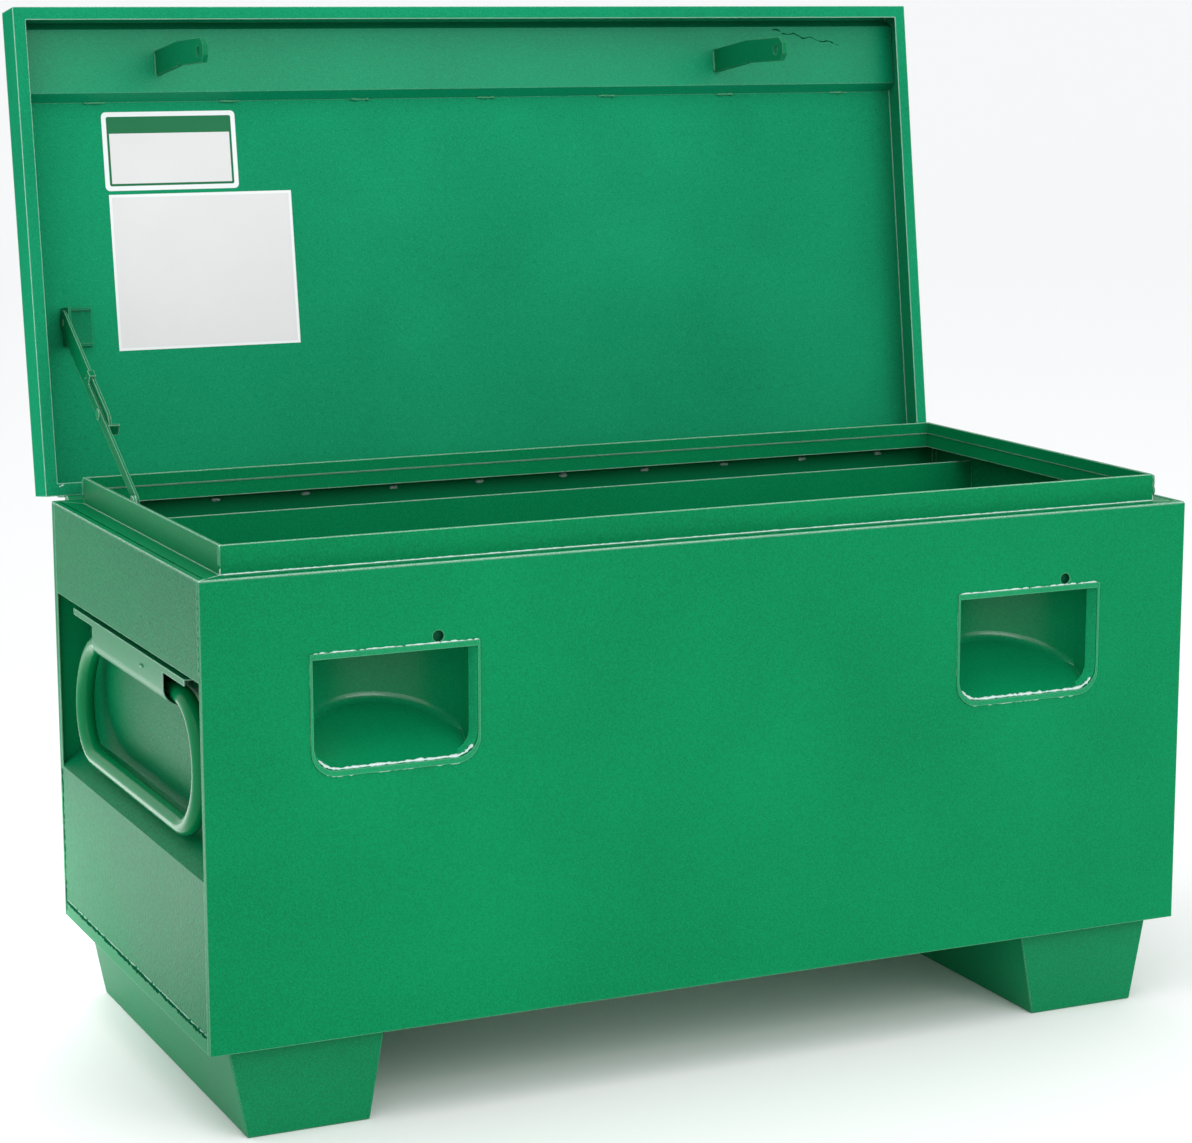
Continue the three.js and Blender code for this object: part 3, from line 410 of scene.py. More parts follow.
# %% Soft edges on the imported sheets
FOLD, SHEAR, THIN = 4.0, 1.2, 0.5
COAT_OF = {
    "front_panel": (front_coat, THIN),
    "left_end_panel": (end_coat, THIN),
    "right_end_panel": (end_coat, THIN),
    "left_rim_rail": (rim_coat, THIN),
    "right_rim_rail": (rim_coat, THIN),
    "front_rim_rail": (rim_coat, THIN),
    "rear_rim_rail": (rim_coat, THIN),
    "tool_shelf": (rim_coat, THIN),
    "left_skid": (skid_coat, FOLD),
    "right_skid": (skid_coat, FOLD),
    "lid_pan": (lid_coat, SHEAR),
    "lid_channel": (channel_coat, 0.6),
    "left_latch_tongue": (tongue_coat, 0.8),
    "right_latch_tongue": (tongue_coat, 0.8),
    "stay_bracket": (bracket_coat, THIN),
    "stay_foot": (small_coat, THIN),
    "lower_arm": (arm_coat, THIN),
    "upper_arm": (arm_coat, THIN),
}
ROUND_NODES = [
    "left_handle_strap", "right_handle_strap", "left_lock_pocket", "right_lock_pocket",
    "hinge_body_leaf", "hinge_lid_leaf",
]
ROD_NODES = ["left_handle", "right_handle"]
JOIN_DISTANCE = 0.00001
FLAT_ANGLE = math.radians(0.5)
BEND_ANGLE = math.radians(30)
BEND_SEGMENTS = 3


def soften(obj, width, merge=True):
    if merge:
        weld = obj.modifiers.new("join_points", "WELD")
        weld.merge_threshold = JOIN_DISTANCE
        flat = obj.modifiers.new("join_faces", "DECIMATE")
        flat.decimate_type = "DISSOLVE"
        flat.angle_limit = FLAT_ANGLE
    bevel = obj.modifiers.new("soft_edge", "BEVEL")
    bevel.limit_method = "ANGLE"
    bevel.angle_limit = BEND_ANGLE
    bevel.width = width / 1000
    bevel.segments = BEND_SEGMENTS
    bevel.use_clamp_overlap = True
    bevel.harden_normals = not merge
    return obj


for node in sorted(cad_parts):
    if node in ROUND_NODES or node in ROD_NODES:
        continue
    coat, width = COAT_OF.get(node, (panel_coat, THIN))
    obj = soften(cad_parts[node], width)
    obj.data.materials.clear()
    obj.data.materials.append(coat)
print("softened", len(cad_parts) - len(ROUND_NODES) - len(ROD_NODES))

# %% [markdown]
# ## Making a piece
# Every new piece is modelled in metres where it stands, gets its coat and rides one of the imported bodies.
# Edges sharper than a set angle stay sharp, so a rod looks round and a sheet stays crisp.

# %% Helper for a new piece
def piece(name, shape, coat, body, replaced=(), smooth_below=40):
    bmesh.ops.recalc_face_normals(shape, faces=shape.faces)
    for face in shape.faces:
        face.smooth = True
    for edge in shape.edges:
        edge.smooth = len(edge.link_faces) == 2 and edge.calc_face_angle() < math.radians(smooth_below)
    data = bpy.data.meshes.new(name)
    shape.to_mesh(data)
    shape.free()
    data.materials.append(coat)
    obj = bpy.data.objects.new(name, data)
    scene.collection.objects.link(obj)
    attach(obj, body)
    if replaced:
        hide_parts(*replaced)
    return obj


# %% [markdown]
# ## Round sheet work
# The padlock pockets, the curled straps and the hinge knuckles are round on the real box. Each one starts as
# a merged copy of its imported solid, and smooth shading with a small bevel takes the facets away. The floor
# of a pocket slopes up to its bowed back, and the two meet in a soft drawn line that catches the light. A
# bevel of that one inner edge gives the line, with a glossier coat on its faces, a touch paler than the
# pocket as a slight painted highlight.

# %% Soft line behind a pocket floor
FLOOR_FILLET = 0.0065
FLOOR_NORMAL_Z = 0.922
BACK_NORMAL_Y = -0.2
NORMAL_PLAY = 0.02


def round_floor_line(shape):
    """Round the inner edge where the sloping floor of a pocket meets its bowed back."""
    line = []
    for edge in shape.edges:
        if len(edge.link_faces) == 2 and not edge.is_convex:
            low, high = sorted(edge.link_faces, key=lambda face: face.normal.z)
            sloping = abs(high.normal.z - FLOOR_NORMAL_Z) < NORMAL_PLAY
            if sloping and abs(low.normal.z) < NORMAL_PLAY and low.normal.y < BACK_NORMAL_Y:
                line.append(edge)
    made = bmesh.ops.bevel(
        shape, geom=line, offset=FLOOR_FILLET, affect="EDGES", segments=5, profile=0.5, material=-1,
    )
    for face in made["faces"]:
        face.material_index = 1
    print("floor line edges", len(line))


# %% Pockets, straps and hinge leaves
ROUND_EDGE = 0.45


def round_copy(node, coat, width):
    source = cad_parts[node]
    shape = bmesh.new()
    shape.from_mesh(source.data)
    shape.transform(source.matrix_world)
    bmesh.ops.remove_doubles(shape, verts=shape.verts, dist=JOIN_DISTANCE)
    bmesh.ops.dissolve_limit(shape, angle_limit=FLAT_ANGLE, verts=shape.verts, edges=shape.edges)
    if "pocket" in node:
        round_floor_line(shape)
    body = "lid" if node == "hinge_lid_leaf" else "body"
    obj = piece(node + "_finished", shape, coat, body, replaced=[node])
    if "pocket" in node:
        obj.data.materials.append(floor_line_coat)
    return soften(obj, width, merge=False)


for node in ROUND_NODES:
    round_copy(node, pocket_coat if "pocket" in node else small_coat, ROUND_EDGE)
print("round copies", len(ROUND_NODES))

# %% [markdown]
# ## Swept rods and beads
# A rod and a weld bead are both a ring carried along a line. One function extrudes the ring from place to
# place, so a bead only needs a ring size that wanders a little. A curve with a round bevel would do it too,
# but it would have to be made a mesh before it could stand in its own place.

# %% Sweep along a line
def frame_at(points, i, normal):
    ahead = points[min(i + 1, len(points) - 1)] - points[max(i - 1, 0)]
    ahead.normalize()
    side = normal.cross(ahead).normalized()
    top = ahead.cross(side)
    columns = Matrix((side, top, ahead)).transposed().to_4x4()
    return Matrix.Translation(points[i]) @ columns


def sweep(points, normal, sizes, sides):
    shape = bmesh.new()
    made = bmesh.ops.create_circle(shape, segments=sides, radius=1, cap_ends=True)
    ring = list(shape.edges)
    last = frame_at(points, 0, normal) @ Matrix.Scale(sizes[0], 4)
    bmesh.ops.transform(shape, matrix=last, verts=made["verts"])
    for i in range(1, len(points)):
        made = bmesh.ops.extrude_edge_only(shape, edges=ring)
        verts = [g for g in made["geom"] if isinstance(g, bmesh.types.BMVert)]
        ring = [g for g in made["geom"] if isinstance(g, bmesh.types.BMEdge)]
        here = frame_at(points, i, normal) @ Matrix.Scale(sizes[i], 4)
        bmesh.ops.transform(shape, matrix=here @ last.inverted(), verts=verts)
        last = here
    bmesh.ops.contextual_create(shape, geom=ring)
    return shape


# %% [markdown]
# ## Drop handles
# Each handle is one round rod bent into a wide loop that hangs in its strap. The loop leans out a little
# where it rests. The ends of the rod meet inside the curl of the strap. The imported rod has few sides, so a
# rounder one on the same path stands in for it.

# %% Line with round bends
def rounded_line(corners, steps):
    """Points along a line through (y, z, bend radius) corners, with an arc at every bend."""
    points = [Vector((0, corners[0][0], corners[0][1]))]
    for before, (y, z, bend), after in zip(corners, corners[1:], corners[2:]):
        here = Vector((0, y, z))
        into = (here - Vector((0, before[0], before[1]))).normalized()
        out = (Vector((0, after[0], after[1])) - here).normalized()
        turn = into.angle(out)
        cut = bend * math.tan(turn / 2)
        start = here - into * cut
        inward = (out - into * out.dot(into)).normalized()
        for i in range(steps + 1):
            angle = turn * i / steps
            along = into * math.sin(angle) * bend
            points.append(start + along + inward * bend * (1 - math.cos(angle)))
    points.append(Vector((0, corners[-1][0], corners[-1][1])))
    return points


# %% Drop handles
SIDES = (("left", -1), ("right", 1))
ROD_RADIUS = 9.5
ROD_X, ROD_Z = 513, 406.35
HANDLE_SHIFT = 6
HANDLE_LEAN = math.radians(3.2)
HANDLE_DROP = 123
HANDLE_TOP_HALF, HANDLE_FOOT_HALF = 182.6, 221.3
HANDLE_TOP_BEND, HANDLE_FOOT_BEND = 70, 56
ROD_GAP = 0.5
BEND_STEPS = 14
ROD_SIDES = 28
loop = rounded_line([
    (ROD_GAP, 0, 0),
    (HANDLE_TOP_HALF, 0, HANDLE_TOP_BEND),
    (HANDLE_FOOT_HALF, -HANDLE_DROP, HANDLE_FOOT_BEND),
    (-HANDLE_FOOT_HALF, -HANDLE_DROP, HANDLE_FOOT_BEND),
    (-HANDLE_TOP_HALF, 0, HANDLE_TOP_BEND),
    (-ROD_GAP, 0, 0),
], BEND_STEPS)
for name, side in SIDES:
    node = name + "_handle"
    shape = sweep(loop, Vector((1, 0, 0)), [ROD_RADIUS] * len(loop), ROD_SIDES)
    hang = Matrix.Translation(place(side * ROD_X, HANDLE_SHIFT, ROD_Z))
    hang = hang @ Matrix.Rotation(-side * HANDLE_LEAN, 4, "Y") @ Matrix.Scale(0.001, 4)
    shape.transform(hang)
    piece(node + "_rod", shape, rod_coat, node, replaced=[node], smooth_below=60)
print("rods around", len(loop), "places")

# %% [markdown]
# ## Weld beads
# The pieces are joined by hand, so the beads wander and swell. A seeded random walk changes the size of the
# ring and moves it a little off the line. A bump map alone would leave the outline of a bead straight. The
# beads are small and stay within the outer size of the box.

# %% A line that wanders
BEAD_SIDES = 8
BEAD_TIP = 0.4
BEAD_STRAY = 0.4


def spaced(corners, pitch):
    """Points about one pitch apart on a line through the corners."""
    points = []
    for start, end in zip(corners, corners[1:]):
        steps = max(1, round((end - start).length / pitch))
        points += [start.lerp(end, i / steps) for i in range(steps)]
    return points + [corners[-1]]


def wander(points, size, seed, wobble, steady=1.0):
    """The points moved a little off their line, and a ring size for each. Both ends taper."""
    dice = random.Random(seed)
    stray = size * wobble * BEAD_STRAY
    placed = [p + Vector([dice.uniform(-stray, stray) for _ in range(3)]) for p in points]
    sizes = [size * (1 + min(wobble, steady) * dice.uniform(-1, 1)) for _ in placed]
    sizes[0] = sizes[-1] = size * BEAD_TIP
    return placed, sizes


print("sides of a bead", BEAD_SIDES)

# %% Bead helper
def bead(name, line, normal, size, seed, body="body", pitch=3.0, wobble=0.35, coat=None, flat=1.0):
    """A bead in drawing millimetres along a line of (x, y, z) corners, half sunk in the sheet."""
    points = spaced([Vector(corner) for corner in line], pitch)
    placed, sizes = wander(points, size, seed, wobble)
    shape = sweep(placed, Vector(normal), sizes, BEAD_SIDES)
    root = Matrix.Translation(line[0])
    shape.transform(root @ Matrix.Scale(flat, 4, Vector(normal)) @ root.inverted())
    shape.transform(Matrix.Translation(place(0, 0, 0)) @ Matrix.Scale(0.001, 4))
    return piece(name, shape, coat or weld_coat, body, smooth_below=80)


# %% [markdown]
# The mouth of each pocket is not a plain hole. Its edge is flared, so it slopes inward from the front sheet
# before the pocket opens out behind it. The slope is what catches light below and on the right, and its coat
# is painted far lighter than the front green as painted light. The key holes end in short drawn sleeves,
# whose dark coat is painted shade.

# %% Pocket mouths
POCKET_X = 345.4
POCKET_HALF = 82
POCKET_TOP_Z, POCKET_FOOT_Z = 455.9, 350
POCKET_CORNER = 24
MOUTH_STEPS = 8
KEY_HOLE_RADIUS = 5.5
KEY_HOLE_OFFSET, KEY_HOLE_Z = 43, 467.9
FACE_Y = -HALF_DEPTH + 0.5
FLARE_START, FLARE_DEPTH = 0.2, 12.6
PLAY_SIDE, PLAY_TOP, PLAY_FOOT = 0.1, 0.3, 0.2
FLARE_SIDE, FLARE_TOP, FLARE_FOOT, FLARE_CORNER = 4, 2, 3, 3
FLARE_SHEET = 0.0006
SLEEVE_DEPTH, SLEEVE_WALL, SLEEVE_FLOOR = 5, 0.8, 0.8
SLEEVE_BACK = 1.7


def mouth_line(centre, half, top, foot, corner, y):
    """Outline of a pocket mouth, square above and rounded below, from the top left down and round."""
    line = [(centre - half, y, top)]
    for side, first in ((-1, math.pi), (1, math.pi * 1.5)):
        for i in range(MOUTH_STEPS + 1):
            angle = first + math.pi / 2 * i / MOUTH_STEPS
            x = centre + side * (half - corner) + corner * math.cos(angle)
            line.append((x, y, foot + corner + corner * math.sin(angle)))
    line.append((centre + half, y, top))
    return line


def flare(name, centre):
    """A thin ring that slopes inward from the front sheet to the mouth of the pocket, in a coat of painted
    light.
    """
    half, top, foot = POCKET_HALF - PLAY_SIDE, POCKET_TOP_Z - PLAY_TOP, POCKET_FOOT_Z + PLAY_FOOT
    front = mouth_line(centre, half, top, foot, POCKET_CORNER, -HALF_DEPTH + FLARE_START)
    back = mouth_line(
        centre, half - FLARE_SIDE, top - FLARE_TOP, foot + FLARE_FOOT, POCKET_CORNER - FLARE_CORNER,
        -HALF_DEPTH + FLARE_DEPTH,
    )
    shape = bmesh.new()
    ring = [shape.verts.new(place(*p)) for p in front]
    ring_edges = [shape.edges.new((a, b)) for a, b in zip(ring, ring[1:] + ring[:1])]
    made = bmesh.ops.extrude_edge_only(shape, edges=ring_edges)
    for vert in [g for g in made["geom"] if isinstance(g, bmesh.types.BMVert)]:
        nearest = min(range(len(front)), key=lambda i: (place(*front[i]) - vert.co).length)
        vert.co = place(*back[nearest])
    bmesh.ops.solidify(shape, geom=shape.faces[:], thickness=FLARE_SHEET)
    return piece(name, shape, painted_light_flare_coat, "body", smooth_below=30)


def key_sleeve(name, x):
    """A shallow drawn cup behind a key hole, open to the front, in a dark coat of painted shade."""
    cup = KEY_HOLE_RADIUS + SLEEVE_WALL + 0.1
    shape = bmesh.new()
    bmesh.ops.create_cone(shape, cap_ends=True, segments=24, radius1=cup, radius2=cup, depth=SLEEVE_DEPTH)
    front = [f for f in shape.faces if f.normal.z > 0.9]
    bmesh.ops.inset_region(shape, faces=front, thickness=SLEEVE_WALL)
    hole = bmesh.ops.extrude_face_region(shape, geom=front)
    verts = [g for g in hole["geom"] if isinstance(g, bmesh.types.BMVert)]
    bmesh.ops.translate(shape, vec=(0, 0, SLEEVE_FLOOR - SLEEVE_DEPTH), verts=verts)
    bmesh.ops.delete(shape, geom=front, context="FACES")
    middle = place(x, -HALF_DEPTH + SLEEVE_BACK + SLEEVE_DEPTH / 2, KEY_HOLE_Z)
    stand = Matrix.Translation(middle) @ Matrix.Rotation(math.pi / 2, 4, "X")
    shape.transform(stand @ Matrix.Scale(0.001, 4))
    return piece(name, shape, painted_shade_sleeve_coat, "body")


for side, sign in SIDES:
    centre = sign * POCKET_X
    flare(f"{side}_pocket_flare", centre)
    key_sleeve(f"{side}_key_sleeve", centre + KEY_HOLE_OFFSET)
print("pocket mouths", 2)

# %% [markdown]
# Each pocket was welded into its opening. The bead above the mouth runs in two thin passes, those beside it
# were ground nearly flush, and the heavy one below is what shines. The passes above, the bead below and a
# bead along the fold just inside the mouth are real beads in a near white coat, which is a painted highlight.

# %% Pocket beads
INTO_SHEET = (0, 1, 0)
TOP_PASSES = ((5.6, 1.0), (2.4, 0.8))
BEAD_OUT = 2
SIDE_BEAD_OUT, SIDE_BEAD_RISE = 2.3, 4
FOOT_BEAD_FALL = 5.2
LIP_BEAD_IN, LIP_BEAD_RISE, LIP_BEAD_BEHIND = 1, 0.9, 1.4
for i, (side, sign) in enumerate(SIDES):
    centre = sign * POCKET_X
    reach = POCKET_HALF + BEAD_OUT
    for j, (above, size) in enumerate(TOP_PASSES):
        z = POCKET_TOP_Z + above
        line = [(centre - reach, FACE_Y, z), (centre + reach, FACE_Y, z)]
        name = f"{side}_pocket_top_bead_{j + 1}"
        bead(name, line, INTO_SHEET, size, 10 * i + j, wobble=0.6, coat=painted_highlight_weld_coat)
    for edge in (-1, 1):
        x = centre + edge * (POCKET_HALF + SIDE_BEAD_OUT)
        line = [(x, FACE_Y, POCKET_TOP_Z + SIDE_BEAD_RISE), (x, FACE_Y, POCKET_FOOT_Z + POCKET_CORNER)]
        # The bead on the right side of each mouth is in the dark shade coat, a painted shade line.
        coat = shade_coat if edge > 0 else weld_coat
        name = f"{side}_pocket_side_bead_{edge + 2}"
        bead(name, line, INTO_SHEET, 0.6, 34 + i + 3 * edge, wobble=0.4, coat=coat)
    foot = mouth_line(
        centre, reach, POCKET_TOP_Z, POCKET_FOOT_Z - FOOT_BEAD_FALL, POCKET_CORNER + BEAD_OUT, FACE_Y,
    )[2:-2]
    bead(f"{side}_pocket_foot_bead", foot, INTO_SHEET, 0.9, 20 + i, wobble=0.8, coat=painted_highlight_weld_coat)
    lip = mouth_line(
        centre, POCKET_HALF - LIP_BEAD_IN, POCKET_TOP_Z, POCKET_FOOT_Z + LIP_BEAD_RISE,
        POCKET_CORNER - LIP_BEAD_IN, -HALF_DEPTH + LIP_BEAD_BEHIND,
    )[4:-4]
    bead(f"{side}_pocket_lip_bead", lip, INTO_SHEET, 1.5, 30 + i, wobble=0.6, coat=painted_highlight_weld_coat)
print("beads at each pocket", 6)

# %% [markdown]
# At the foot of each end the sheet laps the floor sheet. The lap shows as a dark line with a thin light one
# over it, and a dark line runs up the rear corner; both dark lines are beads in the shade coat, painted
# shade.
# A row of small tacks closes the front corner near the rim.

# %% Seams of the ends
FLOOR_Z = 90.6
SEAM_Z = FLOOR_Z + 16
SEAM_FRONT_Y, SEAM_REAR_Y = -246, 243
LIGHT_FRONT_Y, LIGHT_REAR_Y, LIGHT_Z = -244, 240, SEAM_Z + 2.4
RECESS_FOOT_Z = 256
REAR_SEAM_Y = 246
REAR_SEAM_FOOT_Z, REAR_SEAM_TOP_Z = FLOOR_Z + 6, RECESS_FOOT_Z - 2
TACKS = 9
TACK_Y = -247
TACK_TOP_Z, TACK_PITCH, TACK_LENGTH = 524, 9.5, 4.5
for i, (name, side) in enumerate(SIDES):
    x = side * HALF_LENGTH
    line = [(x, SEAM_FRONT_Y, SEAM_Z), (x, SEAM_REAR_Y, SEAM_Z)]
    bead(f"{name}_end_foot_seam", line, (1, 0, 0), 2.2, 40 + i, wobble=0.6, coat=shade_coat, flat=0.3)
    line = [(x, LIGHT_FRONT_Y, LIGHT_Z), (x, LIGHT_REAR_Y, LIGHT_Z)]
    bead(f"{name}_end_foot_light", line, (1, 0, 0), 0.6, 45 + i, wobble=0.9, coat=weld_coat)
    line = [(x, REAR_SEAM_Y, REAR_SEAM_FOOT_Z), (x, REAR_SEAM_Y, REAR_SEAM_TOP_Z)]
    bead(f"{name}_rear_corner_seam", line, (1, 0, 0), 1.6, 48 + i, wobble=0.5, coat=shade_coat, flat=0.3)
    for j in range(TACKS):
        z = TACK_TOP_Z - j * TACK_PITCH
        line = [(x, TACK_Y, z), (x, TACK_Y, z - TACK_LENGTH)]
        bead(f"{name}_corner_tack_{j + 1}", line, (1, 0, 0), 0.9, 50 + 10 * i + j, pitch=1.5)
print("seams and tacks on each end", 3 + TACKS)

# %% [markdown]
# Short runs of weld hold the straps of the handles to the back of the recess, with one small dot on the
# face of each strap.

# %% Strap welds
STRAP_TOP_Z = 435.5
STRAP_WELD_Z = STRAP_TOP_Z + 0.5
STRAP_FACE_X = 531
STRAP_DOT_X, STRAP_DOT_Z = STRAP_FACE_X + 0.1, 422
STRAP_DOT = (-62, -49)
RECESS_DEPTH = 36.4
STRAP_RUNS = ((-190, -150), (-70, -40), (50, 80), (150, 186))
for i, (name, side) in enumerate(SIDES):
    back = side * (HALF_LENGTH - RECESS_DEPTH + 1)
    for j, run in enumerate(STRAP_RUNS):
        line = [(back, y, STRAP_WELD_Z) for y in run]
        bead(f"{name}_strap_weld_{j + 1}", line, (0, 0, 1), 2.0, 70 + 10 * i + j)
    line = [(side * STRAP_DOT_X, y, STRAP_DOT_Z) for y in STRAP_DOT]
    bead(f"{name}_strap_dot", line, (1, 0, 0), 1.6, 90 + i, pitch=2)
print("strap welds", 10)

# %% [markdown]
# The rails around the opening are plug welded to the rear sheet, which shows as a row of bright dots
# inside; the dots are real welds in a near white coat of painted highlight. Their lips meet in mitred corners
# with an upright bead. A thin dark joint in the shade coat, which is painted shade, and a light one in the
# near white coat of painted highlight follow the ledge.

# %% Plug welds of the rear rail
PLUGS = 10
PLUG_PITCH = 101.6
PLUG_Y, PLUG_Z = HALF_DEPTH - 2.2, 528
PLUG_HALF = 5
for j in range(PLUGS):
    x = PLUG_PITCH * (j - (PLUGS - 1) / 2)
    line = [(x - PLUG_HALF, PLUG_Y, PLUG_Z), (x + PLUG_HALF, PLUG_Y, PLUG_Z)]
    bead(f"rear_plug_weld_{j + 1}", line, INTO_SHEET, 2.2, 100 + j, pitch=2, coat=painted_highlight_weld_coat)
print("plug welds", PLUGS)

# %% Lip corners and ledge joints
LIP_TOP_Z = LEDGE_Z + 27.7
LIP_X = HALF_LENGTH - 26.2
LIP_FRONT_Y, LIP_REAR_Y = -HALF_DEPTH + 19.8, HALF_DEPTH - 31.1
LIP_BEAD = 22
FRONT_JOINT_X, FRONT_JOINT_Y = HALF_LENGTH - 10, -HALF_DEPTH + 8
SIDE_JOINT_X = HALF_LENGTH - 7
SIDE_JOINT_FRONT_Y, SIDE_JOINT_REAR_Y = -HALF_DEPTH + 10, HALF_DEPTH - 6
LIP_FOOT_X, LIP_FOOT_Y = HALF_LENGTH - 28, -HALF_DEPTH + 19.5
corners = {
    "front_left": (-LIP_X, LIP_FRONT_Y),
    "front_right": (LIP_X, LIP_FRONT_Y),
    "rear_left": (-LIP_X, LIP_REAR_Y),
    "rear_right": (LIP_X, LIP_REAR_Y),
}
for j, (name, (x, y)) in enumerate(corners.items()):
    line = [(x, y, LIP_TOP_Z - LIP_BEAD), (x, y, LIP_TOP_Z - 0.5)]
    bead(f"{name}_lip_weld", line, (1, 0, 0), 1.5, 120 + j, wobble=0.5)
ledge_joints = {
    "front": [(-FRONT_JOINT_X, FRONT_JOINT_Y, LEDGE_Z), (FRONT_JOINT_X, FRONT_JOINT_Y, LEDGE_Z)],
    "left": [(-SIDE_JOINT_X, SIDE_JOINT_FRONT_Y, LEDGE_Z), (-SIDE_JOINT_X, SIDE_JOINT_REAR_Y, LEDGE_Z)],
    "right": [(SIDE_JOINT_X, SIDE_JOINT_FRONT_Y, LEDGE_Z), (SIDE_JOINT_X, SIDE_JOINT_REAR_Y, LEDGE_Z)],
}
for name, line in ledge_joints.items():
    seed = 240 + len(name)
    bead(f"{name}_ledge_seam", line, (0, 0, 1), 0.9, seed, wobble=0.4, coat=shade_coat, flat=0.15)
line = [(-LIP_FOOT_X, LIP_FOOT_Y, LEDGE_Z), (LIP_FOOT_X, LIP_FOOT_Y, LEDGE_Z)]
bead("front_lip_foot", line, (0, 0, 1), 0.9, 250, wobble=0.4, coat=painted_highlight_weld_coat)
print("corner beads and ledge joints", 8)

# %% [markdown]
# Each skid is stitch welded along both of its top edges, under the floor sheet where only a low view
# shows it.

# %% Welds under the skids
SKID_INNER_X, SKID_OUTER_X = 355 + 1, 511.5 - 1
SKID_WELD_START_Y, SKID_WELD_PITCH, SKID_WELD_LENGTH = -215, 130, 34
SKID_WELD_Z = FLOOR_Z - 0.5
for i, (name, side) in enumerate(SIDES):
    for j, x in enumerate((SKID_INNER_X, SKID_OUTER_X)):
        for k in range(4):
            y = SKID_WELD_START_Y + k * SKID_WELD_PITCH
            line = [(side * x, y, SKID_WELD_Z), (side * x, y + SKID_WELD_LENGTH, SKID_WELD_Z)]
            bead(f"{name}_skid_weld_{j + 1}_{k + 1}", line, (0, 0, 1), 1.6, 130 + 20 * i + 5 * j + k)
print("skid welds", 16)

# %% [markdown]
# ## Things on the lid
# The lid carries two labels, both blank here, a wrinkle in the coat of the channel, and tack welds where the
# channel, the tongues and the corners were joined. The wrinkle is a thin ridge in the dark shade coat, so its
# dark line is painted shade.

# %% Lid bead helper
STEADY = 0.8


def lid_bead(name, line, size, seed, wobble=0.35, coat=None, pitch=3.0):
    """A bead on the open lid, along a line of (x, u, w) corners."""
    points = spaced([on_lid(*corner) for corner in line], pitch / 1000)
    placed, sizes = wander(points, size / 1000, seed, wobble, steady=STEADY)
    return piece(name, sweep(placed, lid_out, sizes, BEAD_SIDES), coat or weld_coat, "lid", smooth_below=80)


# %% Tacks of the channel and the tongues
CHANNEL_FOOT_U, CHANNEL_FACE_END_U = 415, 491
CHANNEL_DEPTH = 15.5
CHANNEL_TACKS = 7
CHANNEL_TACK_START_X, CHANNEL_TACK_PITCH, CHANNEL_TACK_LENGTH = -455, 151, 24
CHANNEL_TACK_W = 3
TONGUE_ROOTS = ((-373, 455), (297, 452))
TONGUE_EDGE, TONGUE_WELD_HALF = 3.2, 13
for j in range(CHANNEL_TACKS):
    x = CHANNEL_TACK_START_X + j * CHANNEL_TACK_PITCH
    line = [(x + run, CHANNEL_FOOT_U, CHANNEL_TACK_W) for run in (0, CHANNEL_TACK_LENGTH)]
    lid_bead(f"channel_tack_{j + 1}", line, 1.4, 200 + j, 0.6)
for j, (x, u) in enumerate(TONGUE_ROOTS):
    for k, across in enumerate((-TONGUE_EDGE, TONGUE_EDGE)):
        line = [(x + across, u + end, CHANNEL_DEPTH) for end in (-TONGUE_WELD_HALF, TONGUE_WELD_HALF)]
        lid_bead(f"tongue_weld_{j + 1}_{k + 1}", line, 1.6, 220 + 2 * j + k, 0.4)
print("channel and tongue tacks", 11)

# %% Wrinkle and corner beads
WRINKLE_START, WRINKLE_END, WRINKLE_STEP = 372, 464, 4
WRINKLE_TOP_U = CHANNEL_FACE_END_U - 4
WRINKLE_FALL, WRINKLE_WAVE, WRINKLE_PERIOD = 0.19, 1.6, 3.7
LID_CORNER_X, LID_CORNER_U = 532, 3
LID_CORNER_RUN = (30, 44)
LID_WALL = 44.2
wrinkle = []
for x in range(WRINKLE_START, WRINKLE_END, WRINKLE_STEP):
    fall = (x - WRINKLE_START) * WRINKLE_FALL
    u = WRINKLE_TOP_U - fall + WRINKLE_WAVE * math.sin(x / WRINKLE_PERIOD)
    wrinkle.append((x, u, CHANNEL_DEPTH))
lid_bead("channel_wrinkle", wrinkle, 0.6, 230, 2.4, coat=shade_coat)
for seed, side, x in ((231, "left", -LID_CORNER_X), (232, "right", LID_CORNER_X)):
    line = [(x, LID_CORNER_U, w) for w in LID_CORNER_RUN]
    lid_bead(f"lid_corner_weld_{side}", line, 1.4, seed, 0.6)
# The dab is in the near white weld coat, a painted highlight.
dab = [(-522, 9, LID_WALL), (-514, 12, LID_WALL)]
lid_bead("lid_corner_dab", dab, 1.1, 233, 0.15, coat=painted_highlight_weld_coat, pitch=2)
print("wrinkle and corner beads", 4)

# %% [markdown]
# The labels are printed film. Here they stay blank: a white card with a green frame and a plain field, and
# a larger white card below it. Film on a painted lid is never quite flat, so its bump is slow and shallow. A
# flat image would give the print, but plain cards in layers need no picture and keep their edges crisp.

# %% Label materials
CARD_GRAIN, CARD_CLOUDS = 300, 14
CARD_SHADE = 0.93
CARD_BUMP, CARD_WAVE = 0.35, 0.0004


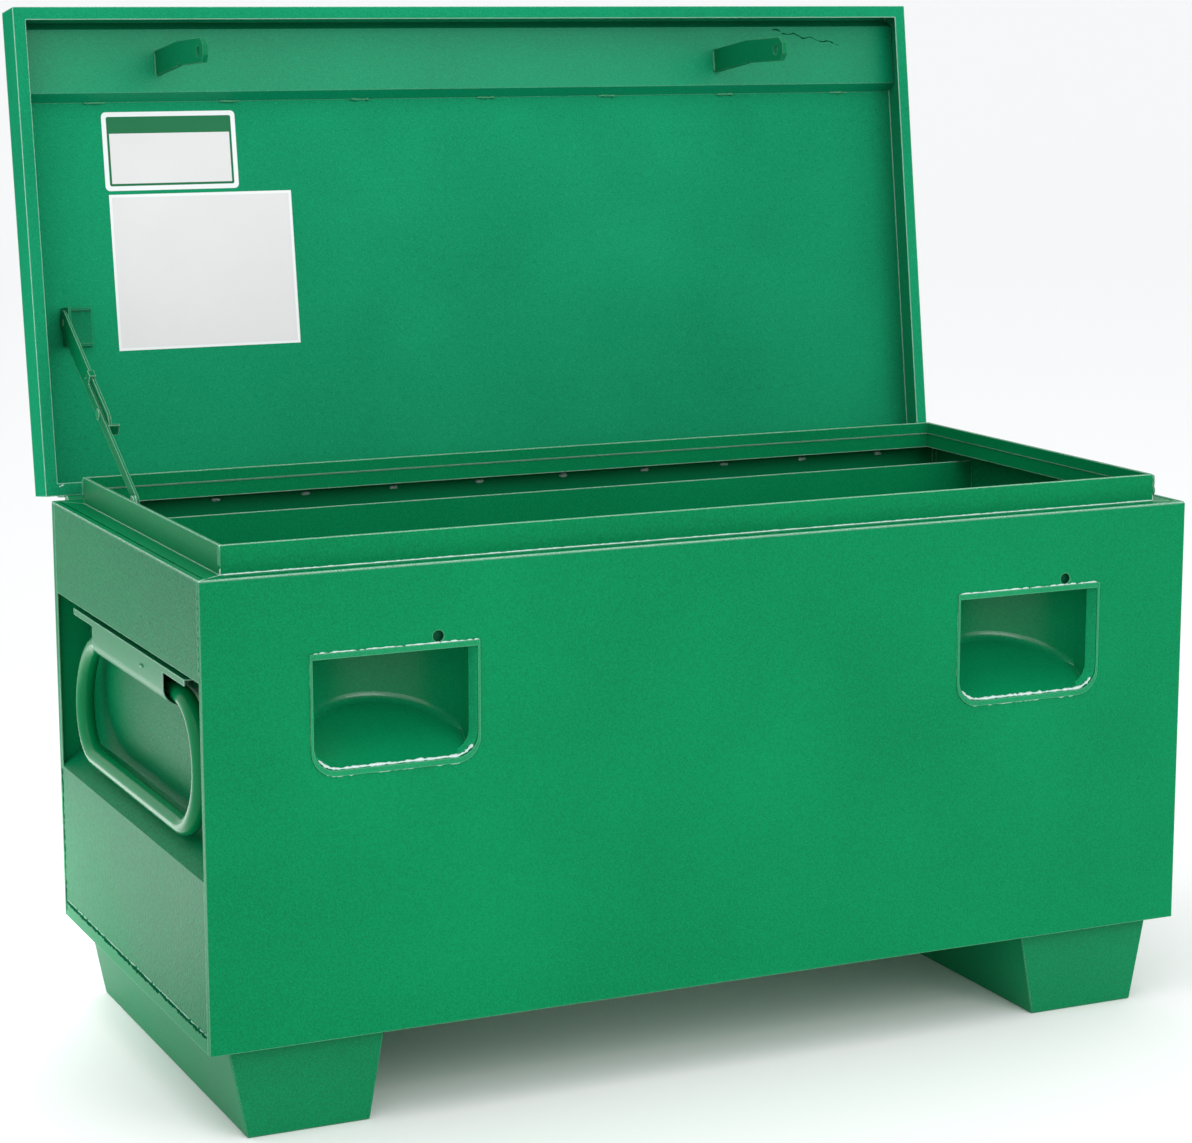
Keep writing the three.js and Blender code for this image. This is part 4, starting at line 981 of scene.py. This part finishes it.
def card_stock(name, color):
    """Printed film, a little darker in slow clouds."""
    material = paint(name, color, roughness=0.35, gloss=0.15)
    tree = material.node_tree
    grain = add_group(tree, peel, {"Scale": CARD_GRAIN, "Cloud Scale": CARD_CLOUDS})
    tone = add_mix(tree, [c * CARD_SHADE for c in color], color)
    tree.links.new(grain.outputs["Cloud"], tone.inputs["Factor"])
    tree.links.new(tone.outputs["Result"], tree.nodes["Principled BSDF"].inputs["Base Color"])
    add_bump(tree, grain.outputs["Cloud"], CARD_BUMP, CARD_WAVE)
    return material


white_card = card_stock("white_card", srgb(236, 240, 240))
grey_card = card_stock("grey_card", srgb(224, 224, 224))
green_print = card_stock("green_print", srgb(8, 110, 66))
print("label materials", 3)

# %% Labels
FILM = 0.12
LID_SKIN = 1.5


def card(name, x0, x1, u0, u1, level, stock, corner=0.0):
    """A thin card on the lid skin. Level counts the layers of film under it."""
    shape = bmesh.new()
    bmesh.ops.create_cube(shape, size=1)
    size = Matrix.Diagonal((x1 - x0, u1 - u0, FILM, 1))
    middle = Vector(((x0 + x1) / 2, (u0 + u1) / 2, LID_SKIN + FILM * (level + 0.5)))
    bmesh.ops.transform(shape, matrix=Matrix.Translation(middle) @ size, verts=shape.verts)
    if corner:
        standing = [e for e in shape.edges if abs(e.verts[0].co.z - e.verts[1].co.z) > FILM / 2]
        bmesh.ops.bevel(
            shape, geom=standing, offset=corner, affect="EDGES", segments=6, profile=0.5, material=-1,
        )
    bmesh.ops.transform(shape, matrix=LID_FRAME @ Matrix.Scale(0.001, 4), verts=shape.verts)
    return piece(name, shape, stock, "lid")


UPPER_CARD = (-436, -287, 321, 405)
LOWER_CARD = (-433, -228, 150, 317)
BORDER = 5
FRAME = BORDER * 1.5
BAND = 18
MARGIN = 3
x0, x1, u0, u1 = UPPER_CARD
card("upper_card", x0, x1, u0, u1, 0, white_card, corner=5)
card("upper_card_frame", x0 + BORDER, x1 - BORDER, u0 + BORDER, u1 - BORDER, 1, green_print, corner=2)
card("upper_card_field", x0 + FRAME, x1 - FRAME, u0 + FRAME, u1 - BORDER - BAND, 2, grey_card)
x0, x1, u0, u1 = LOWER_CARD
card("lower_card", x0, x1, u0, u1, 0, white_card)
card("lower_card_field", x0 + MARGIN, x1 - MARGIN, u0 + MARGIN, u1 - MARGIN, 1, grey_card)
print("labels", 2)
